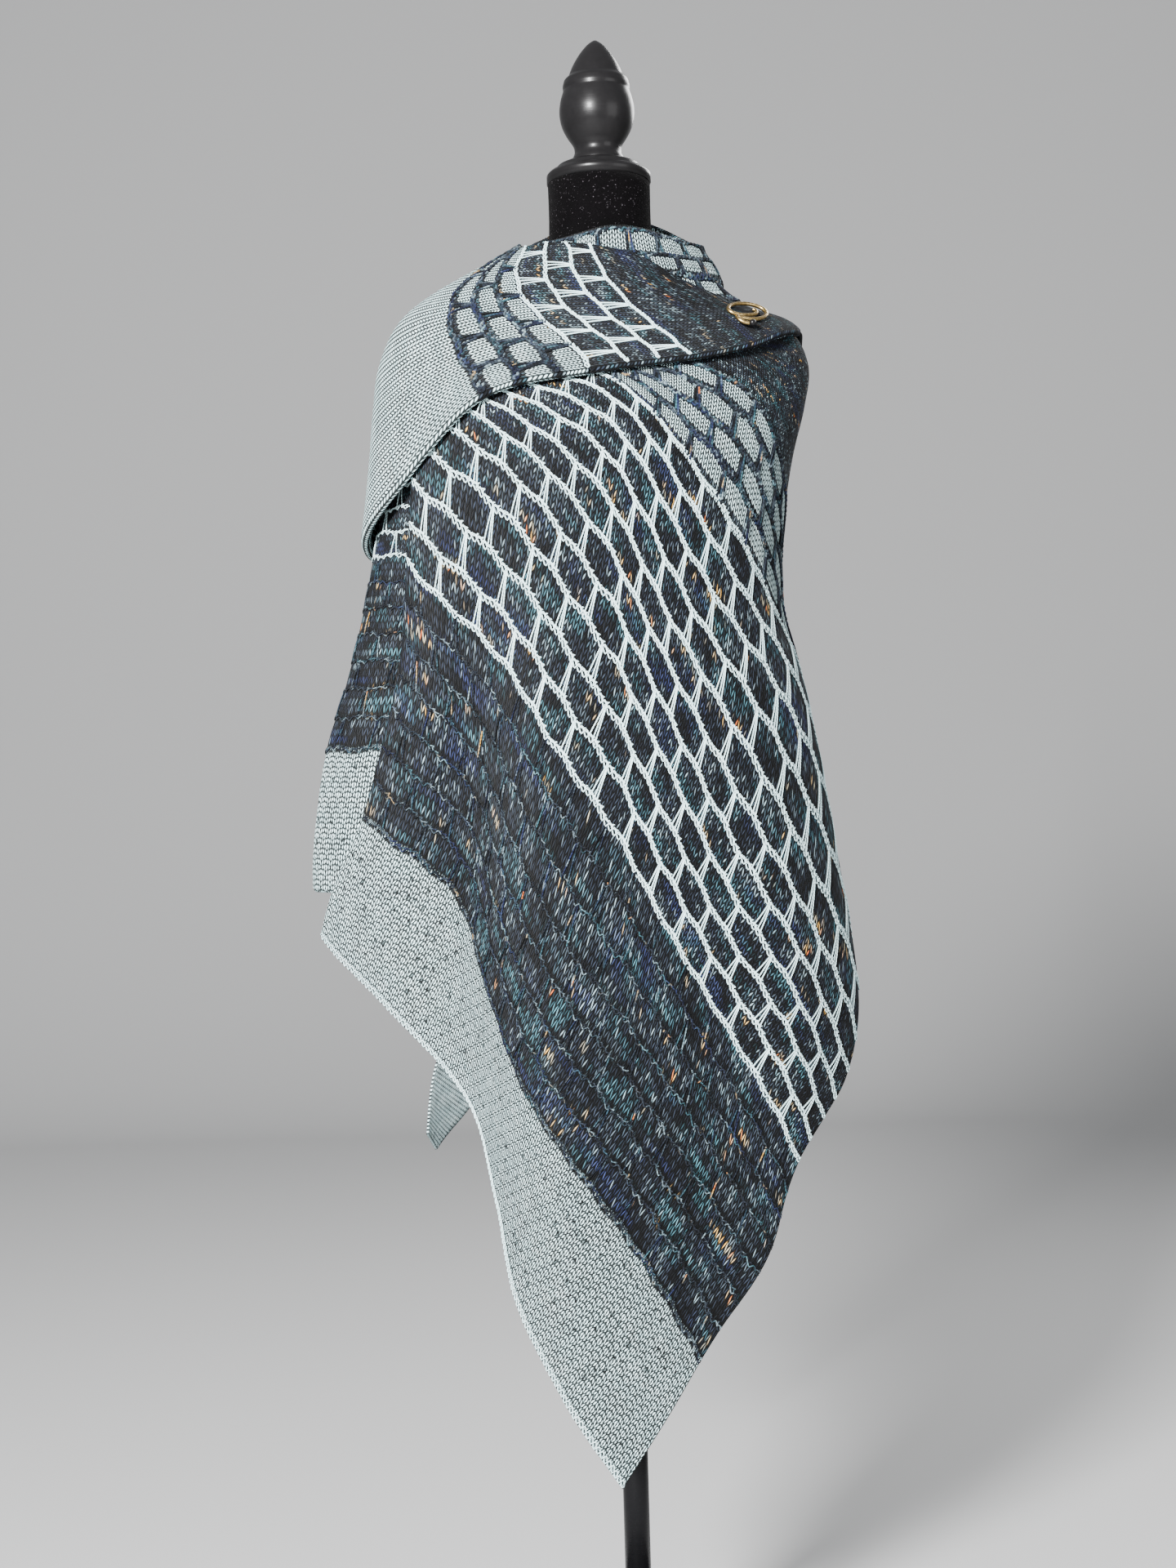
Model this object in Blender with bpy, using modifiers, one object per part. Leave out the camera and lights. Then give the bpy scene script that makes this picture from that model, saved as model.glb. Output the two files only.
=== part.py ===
"""A knitted wrap shawl worn on a limbless dress form that stands on a pole and a round foot.

Run with: blender --background --python part.py
Metres, +Z up, +X to the wearer's left, the front faces -Y. The origin is on the floor, on the pole's axis.

The cloth is worked out on one draped surface, the cape, which goes all round the form.
A place on it is an angle theta (0 at the front, 90 at the wearer's left, -90 at the wearer's right)
and a height h. Each stretch of the shawl is a closed wall that follows the cape at its own lift, so
that the stretches lie on each other as the real cloth does.
"""

import math

import bmesh
import bpy
import numpy as np

# Cloth, metres
WALL = 0.0028
RIDGE_RISE = 0.0016
LINK_RISE = 0.0012
PUFF_RISE = 0.0004
LAYER_GAP = 0.0009
ROLL = 0.0030
LAYER = WALL + RIDGE_RISE + LAYER_GAP
SHOULDER_EASE = 0.0054
TAIL_EASE = 0.0012
COLLAR_EASE = 0.0010
COLLAR_ROLL = 0.0034
SEAM_GAP = 0.0016

# Form and stand, metres
FIT_GAP = 0.0003
NECK_RADIUS = 0.050
NECK_TOP = 1.487
FORM_FOOT = 0.765
POLE_RADIUS = 0.0127
FOOT_RADIUS = 0.185
FOOT_HEIGHT = 0.024
RING_SIDES = 26
TURNED_SIDES = 22

# The draped surface: half widths and depths of each ring, and the ring's height at its four sides
CAPE_COLUMNS = ("h", "left", "right", "front", "back", "z_left", "z_right", "z_front", "z_back")
CAPE = np.array([
    (0.240, 0.200, 0.185, 0.146, 0.174, 0.240, 0.240, 0.240, 0.240),
    (0.400, 0.222, 0.200, 0.150, 0.176, 0.400, 0.400, 0.400, 0.400),
    (0.500, 0.240, 0.214, 0.154, 0.178, 0.500, 0.500, 0.500, 0.500),
    (0.600, 0.262, 0.223, 0.158, 0.180, 0.600, 0.600, 0.600, 0.600),
    (0.700, 0.282, 0.223, 0.161, 0.180, 0.700, 0.700, 0.700, 0.700),
    (0.760, 0.288, 0.216, 0.162, 0.178, 0.760, 0.760, 0.760, 0.760),
    (0.820, 0.291, 0.207, 0.161, 0.172, 0.820, 0.820, 0.820, 0.820),
    (0.880, 0.285, 0.198, 0.158, 0.163, 0.880, 0.880, 0.880, 0.880),
    (0.940, 0.274, 0.188, 0.154, 0.152, 0.940, 0.940, 0.940, 0.940),
    (1.000, 0.256, 0.176, 0.151, 0.140, 1.000, 1.000, 1.000, 1.000),
    (1.060, 0.242, 0.161, 0.149, 0.130, 1.060, 1.060, 1.060, 1.060),
    (1.120, 0.230, 0.160, 0.148, 0.126, 1.120, 1.120, 1.120, 1.120),
    (1.170, 0.220, 0.166, 0.146, 0.127, 1.170, 1.170, 1.170, 1.170),
    (1.220, 0.212, 0.175, 0.139, 0.128, 1.220, 1.220, 1.216, 1.220),
    (1.270, 0.206, 0.184, 0.128, 0.127, 1.270, 1.266, 1.257, 1.268),
    (1.310, 0.200, 0.187, 0.116, 0.123, 1.308, 1.303, 1.288, 1.304),
    (1.340, 0.186, 0.175, 0.104, 0.117, 1.340, 1.326, 1.312, 1.334),
    (1.370, 0.161, 0.144, 0.092, 0.107, 1.363, 1.338, 1.338, 1.367),
    (1.400, 0.121, 0.108, 0.080, 0.095, 1.387, 1.364, 1.364, 1.402),
    (1.430, 0.082, 0.097, 0.071, 0.082, 1.409, 1.387, 1.388, 1.436),
    (1.465, 0.060, 0.089, 0.063, 0.070, 1.430, 1.402, 1.408, 1.466),
    (1.495, 0.058, 0.081, 0.0585, 0.066, 1.448, 1.416, 1.436, 1.490),
])

# The largest soft folds of the cloth: where each starts and ends, its half width and how far it stands out
FOLD_COLUMNS = ("theta_top", "h_top", "theta_low", "h_low", "half_width", "rise")
FOLDS = np.array([
    (-31, 1.24, -24, 0.86, 14, -0.0055),
    (-47, 1.12, -44, 0.58, 16, 0.0050),
    (-8, 1.12, -14, 0.40, 17, 0.0060),
    (24, 1.02, 20, 0.42, 15, -0.0060),
    (44, 1.08, 40, 0.50, 18, 0.0055),
    (-90, 1.12, -84, 0.78, 17, 0.0060),
    (-114, 1.16, -112, 0.76, 16, -0.0060),
    (-138, 1.22, -138, 0.78, 18, 0.0065),
    (-164, 1.22, -164, 0.76, 18, -0.0060),
    (-190, 1.22, -190, 0.78, 18, 0.0065),
    (-216, 1.20, -216, 0.70, 18, -0.0060),
])

# Knitted bands across the shawl: how far each starts from the outer edge, and its rows of cells
MOSS_WIDTH = 0.120
RIDGED_ROWS, RIDGED_PITCH = 7, 0.030
MESH_ROWS, MESH_PITCH = 10, 0.028
BRICK_ROWS, BRICK_PITCH = 4, 0.028
PLAIN_ROWS = 3
RIDGED_START = MOSS_WIDTH
MESH_START = RIDGED_START + RIDGED_ROWS * RIDGED_PITCH
BRICK_START = MESH_START + MESH_ROWS * MESH_PITCH
PLAIN_START = BRICK_START + BRICK_ROWS * BRICK_PITCH
FRONT_TOP = 0.960
BACK_MESH_ROWS = 8
BACK_BRICK_START = MESH_START + BACK_MESH_ROWS * MESH_PITCH
BACK_TOP = BACK_BRICK_START + BRICK_ROWS * BRICK_PITCH

# Front stretch: where band lines run over the cape, from the left fold to the shawl's short side edge
FRONT_COLUMNS = ("across",) + tuple(f"{name}{k}" for k in range(7) for name in ("theta", "h"))
FRONT_LINES = np.array([
    (0.0, -72, 0.762, -47, 0.688, -33, 0.612, -30, 0.520, -28, 0.424, -18, 0.340, -4, 0.256),
    (RIDGED_START, -53, 0.875, -32, 0.808, -26, 0.716, -20, 0.622, -9, 0.540, 4, 0.457, 18, 0.368),
    (0.225, -49, 0.989, -28.8, 0.917, -19.5, 0.822, -10.5, 0.730, 3, 0.640, 18, 0.551, 34.8, 0.456),
    (MESH_START, -52, 1.112, -25, 1.020, -11, 0.930, 1.5, 0.838, 14, 0.743, 28, 0.650, 43.5, 0.545),
    (0.470, -57, 1.285, -35, 1.250, -14, 1.185, 6, 1.075, 25, 0.942, 46, 0.800, 74, 0.650),
    (BRICK_START, -56, 1.316, -28, 1.316, 0, 1.292, 28, 1.185, 58, 1.090, 87, 1.000, 118, 0.910),
    (PLAIN_START, -55, 1.327, -19, 1.334, 17, 1.312, 45, 1.268, 72, 1.190, 103, 1.125, 138, 1.080),
    (FRONT_TOP, -54, 1.338, -17, 1.349, 21, 1.340, 53, 1.340, 82, 1.352, 112, 1.335, 150, 1.270),
])
FRONT_HALF_CELLS = 28

# Back stretch: from under the front's left fold round the back to under the front's side edge
BACK_LINES = np.array([
    (0.0, -48, 0.806, -90, 0.806, -130, 0.792, -165, 0.796, -200, 0.806, -238, 0.826, -272, 0.860),
    (RIDGED_START, -47, 0.938, -90, 0.938, -130, 0.925, -165, 0.924, -200, 0.930, -238, 0.946, -272, 0.980),
    (MESH_START, -46, 1.118, -90, 1.124, -130, 1.116, -165, 1.110, -200, 1.108, -238, 1.112, -268, 1.130),
    (BACK_BRICK_START, -48, 1.300, -90, 1.290, -130, 1.285, -165, 1.290, -200, 1.290, -230, 1.285, -254, 1.275),
    (BACK_TOP, -50, 1.372, -88, 1.384, -126, 1.391, -162, 1.393, -195, 1.391, -220, 1.378, -240, 1.352),
])
BACK_HALF_CELLS = 24

# Upper wrap: stations from the back of the right shoulder, across the chest, to the pin on the left shoulder
WRAP_COLUMNS = ("along", "theta_low", "h_low", "lift_low", "theta_mid", "h_mid", "lift_mid",
                "theta_up", "h_up", "lift_up")
WRAP_STATIONS = np.array([
    (0.000, -152, 1.185, 0.0125, -150, 1.310, 0.014, -146, 1.415, 0.014),
    (0.110, -122, 1.130, 0.0120, -124, 1.300, 0.016, -126, 1.440, 0.013),
    (0.210, -94, 1.132, 0.0125, -99, 1.300, 0.018, -108, 1.448, 0.012),
    (0.330, -58, 1.180, 0.0231, -72, 1.310, 0.020, -94, 1.448, 0.011),
    (0.420, -33, 1.264, 0.0205, -47, 1.335, 0.021, -80, 1.442, 0.011),
    (0.530, -4, 1.294, 0.0180, -22, 1.362, 0.020, -60, 1.438, 0.012),
    (0.610, 12, 1.302, 0.0180, -4, 1.366, 0.020, -32, 1.458, 0.013),
    (0.690, 27, 1.308, 0.0180, 14, 1.366, 0.020, -2, 1.458, 0.014),
    (0.770, 44, 1.318, 0.0190, 37, 1.358, 0.020, 30, 1.420, 0.016),
    (0.840, 60, 1.330, 0.0195, 57, 1.350, 0.019, 54, 1.378, 0.018),
    (0.900, 78, 1.334, 0.0190, 79, 1.347, 0.018, 79, 1.362, 0.017),
])
WRAP_MESH, WRAP_SEAM, WRAP_PLAIN = 0.425, 0.530, 0.670
WRAP_CELLS = 5
SHOULDER_PLAIN_RIBS, SHOULDER_MESH_ROWS = 12, 3
CHEST_MESH_ROWS, CHEST_PLAIN_RIBS = 3, 7

# Tail: the shawl's other end, from the pinned shoulder down across the back to its point
TAIL_COLUMNS = ("along", "theta_low", "h_low", "theta_up", "h_up")
TAIL_STATIONS = np.array([
    (0.00, 79, 1.334, 79, 1.362),
    (0.07, 97, 1.328, 99, 1.366),
    (0.16, 118, 1.290, 126, 1.373),
    (0.28, 137, 1.190, 156, 1.320),
    (0.40, 150, 1.070, 174, 1.190),
    (0.52, 162, 0.950, 188, 1.050),
    (0.64, 174, 0.835, 198, 0.920),
    (0.75, 186, 0.740, 206, 0.800),
    (0.86, 203, 0.640, 216, 0.680),
    (0.94, 217, 0.566, 226, 0.598),
    (1.00, 229, 0.528, 231, 0.545),
])
TAIL_RIBS = 25
TAIL_ROWS = 5

# Neck collar: the turn of cloth that stands round the neck, and the height of its top edge
COLLAR_START, COLLAR_END = -62, 252
COLLAR_LOW = 1.386
COLLAR_TOP_COLUMNS = ("theta", "h")
COLLAR_TOP = np.array([(-62, 1.450), (-32, 1.471), (-5, 1.483), (60, 1.485), (120, 1.480), (180, 1.466), (252, 1.460)])
COLLAR_HALF_CELLS = 22
COLLAR_CELL_ROWS = 2

# The form: half width, depths and heights of its rings
FORM_COLUMNS = ("half_width", "front", "back", "z_side", "z_front", "z_back")
FORM = np.array([
    (0.156, 0.098, 0.110, 0.765, 0.765, 0.765),
    (0.168, 0.106, 0.120, 0.800, 0.800, 0.800),
    (0.167, 0.109, 0.122, 0.860, 0.860, 0.860),
    (0.152, 0.106, 0.112, 0.920, 0.920, 0.920),
    (0.132, 0.100, 0.096, 0.980, 0.980, 0.980),
    (0.120, 0.096, 0.086, 1.035, 1.035, 1.035),
    (0.124, 0.102, 0.088, 1.080, 1.080, 1.080),
    (0.138, 0.118, 0.096, 1.130, 1.130, 1.130),
    (0.153, 0.128, 0.104, 1.175, 1.170, 1.172),
    (0.168, 0.123, 0.109, 1.210, 1.200, 1.206),
    (0.1804, 0.113, 0.112, 1.250, 1.225, 1.238),
    (0.181, 0.104, 0.110, 1.288, 1.248, 1.268),
    (0.170, 0.095, 0.105, 1.318, 1.272, 1.297),
    (0.142, 0.085, 0.097, 1.336, 1.298, 1.320),
    (0.106, 0.074, 0.086, 1.351, 1.324, 1.342),
    (0.080, 0.064, 0.072, 1.360, 1.348, 1.362),
    (0.062, 0.056, 0.060, 1.380, 1.372, 1.384),
    (0.053, 0.052, 0.053, 1.408, 1.404, 1.410),
    (NECK_RADIUS, NECK_RADIUS, NECK_RADIUS, 1.445, 1.445, 1.445),
    (NECK_RADIUS, NECK_RADIUS, NECK_RADIUS, NECK_TOP, NECK_TOP, NECK_TOP),
])

# Turned finial above the neck: radius and height over the neck's top, from the foot of the cap upwards
CAP_PROFILE = (
    (0.0510, 0.000), (0.0510, 0.008), (0.0480, 0.011), (0.0430, 0.0125), (0.0400, 0.017), (0.0330, 0.020),
)
FINIAL_PROFILE = (
    (0.0260, 0.0203), (0.0255, 0.024), (0.0225, 0.030), (0.0235, 0.037), (0.0300, 0.046), (0.0350, 0.056),
    (0.0372, 0.068), (0.0360, 0.080), (0.0325, 0.091), (0.0330, 0.095), (0.0315, 0.101), (0.0270, 0.105),
    (0.0235, 0.114), (0.0165, 0.126), (0.0080, 0.136), (0.0020, 0.140),
)

# Brass pin on the left shoulder
PIN_THETA, PIN_H = 50, 1.349
PIN_LENGTH, PIN_WIDTH = 0.046, 0.027
PIN_WIRE = 0.0019
STUD_RADIUS = 0.0032


def smooth_curve(knots, values, at):
    """The smooth curve through the values at the knots, read at the given places."""
    knots, values = np.asarray(knots, float), np.asarray(values, float)
    at = np.clip(at, knots[0], knots[-1])
    i = np.clip(np.searchsorted(knots, at, side="right") - 1, 0, len(knots) - 2)
    step = np.diff(knots)
    chord = np.diff(values) / step
    slope = np.empty_like(values)
    slope[1:-1] = (chord[:-1] * step[1:] + chord[1:] * step[:-1]) / (step[:-1] + step[1:])
    slope[0], slope[-1] = chord[0], chord[-1]
    t = (at - knots[i]) / step[i]
    start, end = values[i], values[i + 1]
    lean_in, lean_out = step[i] * slope[i], step[i] * slope[i + 1]
    return ((2 * t**3 - 3 * t**2 + 1) * start + (t**3 - 2 * t**2 + t) * lean_in
            + (3 * t**2 - 2 * t**3) * end + (t**3 - t**2) * lean_out)


def ease(x):
    """0 below 0, 1 above 1, and a soft S between."""
    x = np.clip(x, 0, 1)
    return x * x * (3 - 2 * x)


def plain_cape(theta, h):
    """The point of the unfolded cape: an ellipse ring whose height sinks from front and back to the sides."""
    left, right, front, back, z_left, z_right, z_front, z_back = (
        smooth_curve(CAPE[:, 0], CAPE[:, k], h) for k in range(1, len(CAPE_COLUMNS)))
    s, c = np.sin(np.radians(theta)), np.cos(np.radians(theta))
    x = np.where(s > 0, right, left) * s
    y = -np.where(c > 0, front, back) * c
    z = np.where(s > 0, z_right, z_left) * s * s + np.where(c > 0, z_front, z_back) * c * c
    return np.stack([x, y, z], -1)


def cape_normal(theta, h):
    """The cape's outward direction, from its two tangents."""
    turn, climb = 0.4, 0.002
    round_it = plain_cape(theta + turn, h) - plain_cape(theta - turn, h)
    up_it = plain_cape(theta, h + climb) - plain_cape(theta, h - climb)
    n = np.cross(round_it, up_it)
    return n / np.linalg.norm(n, axis=-1, keepdims=True)


def fold_height(theta, h):
    """How far the folds stand out: each is a cosine bump across, which swells from its top to its foot."""
    total = np.zeros(np.broadcast(theta, h).shape)
    for theta_top, h_top, theta_low, h_low, half_width, rise in FOLDS:
        down = (h_top - h) / (h_top - h_low)
        centre = theta_top + (theta_low - theta_top) * np.clip(down, 0, 1.3)
        away = (theta - centre + 180) % 360 - 180
        across = 0.5 + 0.5 * np.cos(np.pi * np.clip(away / half_width, -1, 1))
        total = total + rise * across * ease(down * 1.6)
    return total


def draped(theta, h, lift):
    """Points on the folded cape, moved out by lift."""
    theta, h, lift = (np.asarray(v, float) for v in np.broadcast_arrays(theta, h, lift))
    out = lift + fold_height(theta, h)
    return plain_cape(theta, h) + cape_normal(theta, h) * out[..., None]


def line_points(row, count):
    """A band line read evenly by its length: columns theta and h."""
    knots = np.linspace(0, 1, (len(row) - 1) // 2)
    fine = np.linspace(0, 1, 241)
    theta, h = smooth_curve(knots, row[1::2], fine), smooth_curve(knots, row[2::2], fine)
    steps = np.linalg.norm(np.diff(plain_cape(theta, h), axis=0), axis=1)
    length = np.concatenate([[0], np.cumsum(steps)])
    at = np.linspace(0, length[-1], count)
    return np.stack([np.interp(at, length, theta), np.interp(at, length, h)], -1)


def lattice(lines, across, count):
    """theta and h for each place across the bands and each half cell along them."""
    even = np.stack([line_points(row, count) for row in lines])
    theta = np.stack([smooth_curve(lines[:, 0], even[:, k, 0], across) for k in range(count)], 1)
    h = np.stack([smooth_curve(lines[:, 0], even[:, k, 1], across) for k in range(count)], 1)
    return theta, h


def band_rows(mesh_rows, top_bands):
    """The rows across a stretch: its places, and which cell row each belongs to ("plain" between the cells)."""
    places = list(np.linspace(0, MOSS_WIDTH, 5)[:-1])
    kinds = ["plain"] * 4
    bands = [(RIDGED_START, RIDGED_ROWS, RIDGED_PITCH), (MESH_START, mesh_rows, MESH_PITCH)] + top_bands
    for start, rows, pitch in bands:
        for row in range(rows):
            places += [start + row * pitch, start + (row + 0.5) * pitch]
            kinds += ["ridge", "even" if (row - rows) % 2 == 0 else "odd"]
    return places, kinds


def relief_of(kinds, columns):
    """How far the outer face rises: on each ridge, on the links between cells, and softly on the cells."""
    rise = np.zeros((len(kinds), columns))
    for i, kind in enumerate(kinds):
        if kind == "ridge":
            rise[i] = RIDGE_RISE
        elif kind != "plain":
            first = 0 if kind == "even" else 1
            rise[i] = PUFF_RISE
            rise[i, first::2] = LINK_RISE
    return rise


def face_normals(grid):
    """Directions out of a grid of points, from its rows and columns."""
    along = np.gradient(grid, axis=1)
    across = np.gradient(grid, axis=0)
    n = np.cross(along, across)
    return n / np.linalg.norm(n, axis=-1, keepdims=True)


def rolled_edge(grid, normals, radius, steps, tuck):
    """Rows that carry a grid's first row on: a half turn of cloth, then a short return underneath."""
    edge, n = grid[0], normals[0]
    out = grid[0] - grid[1]
    out -= n * np.sum(out * n, -1, keepdims=True)
    out /= np.linalg.norm(out, axis=-1, keepdims=True)
    centre = edge - n * radius
    rows = []
    for k in range(1, steps + 1):
        angle = math.pi * k / steps
        rows.append(centre + radius * (n * math.cos(angle) + out * math.sin(angle)))
    rows.append(rows[-1] - out * tuck)
    return np.stack(rows[::-1])


def material(name, colour, roughness=0.9, metallic=0.0):
    made = bpy.data.materials.new(name)
    made.use_nodes = True
    shader = made.node_tree.nodes["Principled BSDF"]
    shader.inputs["Base Color"].default_value = (*colour, 1)
    shader.inputs["Roughness"].default_value = roughness
    shader.inputs["Metallic"].default_value = metallic
    return made


def add_object(name, mesh, finish, collection):
    mesh.materials.append(finish)
    made = bpy.data.objects.new(name, mesh)
    collection.objects.link(made)
    return made


def wall(name, grid, rise, finish, collection):
    """A closed wall on a grid of middle points: a plain inner face, an outer face that carries the relief, a rim."""
    rows, columns = grid.shape[:2]
    n = face_normals(grid)
    outer = grid + n * (WALL / 2 + rise)[..., None]
    inner = grid - n * (WALL / 2)
    points = np.concatenate([outer.reshape(-1, 3), inner.reshape(-1, 3)])
    place = np.arange(rows * columns).reshape(rows, columns)
    a, b, c, d = (v.ravel() for v in (place[:-1, :-1], place[:-1, 1:], place[1:, 1:], place[1:, :-1]))
    middle = grid.reshape(-1, 3)
    short = np.linalg.norm(middle[a] - middle[c], axis=1) <= np.linalg.norm(middle[b] - middle[d], axis=1)
    one = np.where(short, [a, b, c], [a, b, d]).T
    two = np.where(short, [a, c, d], [b, c, d]).T
    front = np.concatenate([one, two])
    behind = front[:, ::-1] + rows * columns
    loop = np.concatenate([place[0, :-1], place[:-1, -1], place[-1, :0:-1], place[:0:-1, 0]])
    after = np.roll(loop, -1)
    rim = np.stack([after, loop, loop + rows * columns, after + rows * columns], -1)
    mesh = bpy.data.meshes.new(name)
    mesh.from_pydata(points.tolist(), [], front.tolist() + behind.tolist() + rim.tolist())
    mesh.shade_smooth()
    return add_object(name, mesh, finish, collection)


def layer_lift(theta, h, level):
    """A layer's lift: even steps, eased up where the layers turn over the wearer's left shoulder."""
    turn = (0.15 + 0.85 * ease((h - 1.20) / 0.10)) * ease((theta - 55) / 30) * (1 - ease((theta - 175) / 25))
    return level * LAYER + min(level, 1) * SHOULDER_EASE * turn


def front_fall(finish, collection):
    """The long front stretch, which hangs to a point and goes over the left shoulder to the back."""
    places, kinds = band_rows(MESH_ROWS, [(BRICK_START, BRICK_ROWS, BRICK_PITCH)])
    places += list(np.linspace(PLAIN_START, FRONT_TOP, PLAIN_ROWS + 1))
    kinds += ["ridge"] + ["plain"] * PLAIN_ROWS
    columns = FRONT_HALF_CELLS + 1
    theta, h = lattice(FRONT_LINES, np.array(places), columns)
    from_fold = np.linspace(0, 1, columns)[None, :] * np.ones_like(theta)
    lift = layer_lift(theta, h, 1) + 2 * ROLL * (1 - ease(from_fold / 0.16))
    grid = draped(theta, h, lift)
    rise = relief_of(kinds, columns)
    across = grid.transpose(1, 0, 2)
    roll = rolled_edge(across, -face_normals(across), ROLL, 3, 0.010).transpose(1, 0, 2)
    grid = np.concatenate([roll, grid], 1)
    rise = np.concatenate([np.zeros(roll.shape[:2]), rise], 1)
    return wall("front_fall", grid, rise, finish, collection)


def back_fall(finish, collection):
    """The stretch that goes from the right side round the back, with a curled hem."""
    places, kinds = band_rows(BACK_MESH_ROWS, [(BACK_BRICK_START, BRICK_ROWS, BRICK_PITCH)])
    places.append(BACK_TOP)
    kinds.append("ridge")
    columns = BACK_HALF_CELLS + 1
    theta, h = lattice(BACK_LINES, np.array(places), columns)
    grid = draped(theta, h, 0.0)[:, ::-1]
    rise = relief_of(kinds, columns)[:, ::-1]
    roll = rolled_edge(grid, face_normals(grid), ROLL, 3, 0.006)
    grid = np.concatenate([roll, grid])
    rise = np.concatenate([np.zeros(roll.shape[:2]), rise])
    return wall("back_fall", grid, rise, finish, collection)


def upper_wrap(name, places, kinds, finish, collection):
    """A stretch of the upper wrap at the given stations, with a rolled lower edge."""
    columns = [smooth_curve(WRAP_STATIONS[:, 0], WRAP_STATIONS[:, k], np.array(places)) for k in range(1, 10)]
    q = np.linspace(0, 1, 2 * WRAP_CELLS + 1)[:, None]
    low, mid, up = (1 - q) * (1 - 2 * q), 4 * q * (1 - q), q * (2 * q - 1)
    theta, h, lift = (low * columns[k] + mid * columns[k + 3] + up * columns[k + 6] for k in range(3))
    grid = draped(theta, h, lift)
    rise = relief_of(kinds, len(q)).T
    roll = rolled_edge(grid, face_normals(grid), ROLL, 3, 0.010)
    grid = np.concatenate([roll, grid])
    rise = np.concatenate([np.zeros(roll.shape[:2]), rise])
    return wall(name, grid, rise, finish, collection)


def mesh_stations(start, end, rows):
    """Stations of rows of cells between two places: each row has a ridge and a middle."""
    places = list(np.linspace(start, end, 2 * rows + 1)[:-1])
    return places, [kind for row in range(rows) for kind in ("ridge", "even" if row % 2 == 0 else "odd")]


def wraps(pale, knit, collection):
    """Both stretches of the upper wrap, which meet at a seam on the chest."""
    places, kinds = mesh_stations(WRAP_MESH, WRAP_SEAM, SHOULDER_MESH_ROWS)
    plain = list(np.linspace(0, WRAP_MESH, SHOULDER_PLAIN_RIBS + 1)[:-1])
    places = plain + places + [WRAP_SEAM - SEAM_GAP / 2]
    upper_wrap("shoulder_wrap", places, ["plain"] * len(plain) + kinds + ["plain"], pale, collection)
    places, kinds = mesh_stations(WRAP_SEAM + SEAM_GAP / 2, WRAP_PLAIN, CHEST_MESH_ROWS)
    plain = list(np.linspace(WRAP_PLAIN, WRAP_STATIONS[-1, 0], CHEST_PLAIN_RIBS + 1))
    kinds += ["ridge"] + ["plain"] * CHEST_PLAIN_RIBS
    upper_wrap("chest_wrap", places + plain, kinds, knit, collection)


def back_tail(finish, collection):
    """The tapering end that hangs across the back."""
    along = np.linspace(TAIL_STATIONS[0, 0] + 0.0018, TAIL_STATIONS[-1, 0], TAIL_RIBS)
    theta_low, h_low, theta_up, h_up = (
        smooth_curve(TAIL_STATIONS[:, 0], TAIL_STATIONS[:, k], along) for k in range(1, 5))
    q = np.linspace(0, 1, TAIL_ROWS)[:, None]
    theta = theta_low + (theta_up - theta_low) * q
    h = h_low + (h_up - h_low) * q
    lift = layer_lift(theta, h, 2) + TAIL_EASE * (1 - ease(along / 0.20))
    return wall("back_tail", draped(theta, h, lift), np.zeros(theta.shape), finish, collection)


def neck_collar(finish, collection):
    """The collar round the neck, laid over the tops of both falls and rolled in at its upper edge."""
    theta = np.linspace(COLLAR_START, COLLAR_END, COLLAR_HALF_CELLS + 1)
    top = smooth_curve(COLLAR_TOP[:, 0], COLLAR_TOP[:, 1], theta)
    h = COLLAR_LOW + (top - COLLAR_LOW) * np.linspace(0, 1, 2 * COLLAR_CELL_ROWS + 1)[:, None]
    theta = theta + np.zeros(h.shape)
    lift = layer_lift(theta, h, 1) + LAYER * ease((theta - 25) / 60) * (1 - ease((theta - 160) / 14))
    lift = lift + COLLAR_EASE * ease((theta - 60) / 60)
    kinds = ["ridge", "even", "ridge", "odd", "ridge"]
    grid = draped(theta, h, lift)[::-1]
    rise = relief_of(kinds, COLLAR_HALF_CELLS + 1)[::-1]
    roll = rolled_edge(grid, -face_normals(grid), COLLAR_ROLL, 3, 0.012)
    grid = np.concatenate([roll, grid])[::-1]
    rise = np.concatenate([np.zeros(roll.shape[:2]), rise])[::-1]
    return wall("neck_collar", grid, rise, finish, collection)


def dress_form(finish, collection):
    """The torso and neck: rings lofted from the hip to the neck, closed at both ends."""
    theta = np.radians(np.arange(RING_SIDES) * 360 / RING_SIDES)
    s, c = np.sin(theta), np.cos(theta)
    rings = []
    for half_width, front, back, z_side, z_front, z_back in FORM:
        z = z_side * s * s + np.where(c > 0, z_front, z_back) * c * c
        rings.append(np.stack([half_width * s, -np.where(c > 0, front, back) * c, z], -1))
    points = np.concatenate(rings)
    faces = [tuple(range(RING_SIDES))[::-1]]
    for level in range(len(rings) - 1):
        for k in range(RING_SIDES):
            a, b = level * RING_SIDES + k, level * RING_SIDES + (k + 1) % RING_SIDES
            faces.append((a, b, b + RING_SIDES, a + RING_SIDES))
    top = (len(rings) - 1) * RING_SIDES
    faces.append(tuple(top + k for k in range(RING_SIDES)))
    mesh = bpy.data.meshes.new("dress_form")
    mesh.from_pydata(points.tolist(), [], faces)
    mesh.shade_smooth()
    return add_object("dress_form", mesh, finish, collection)


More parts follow.
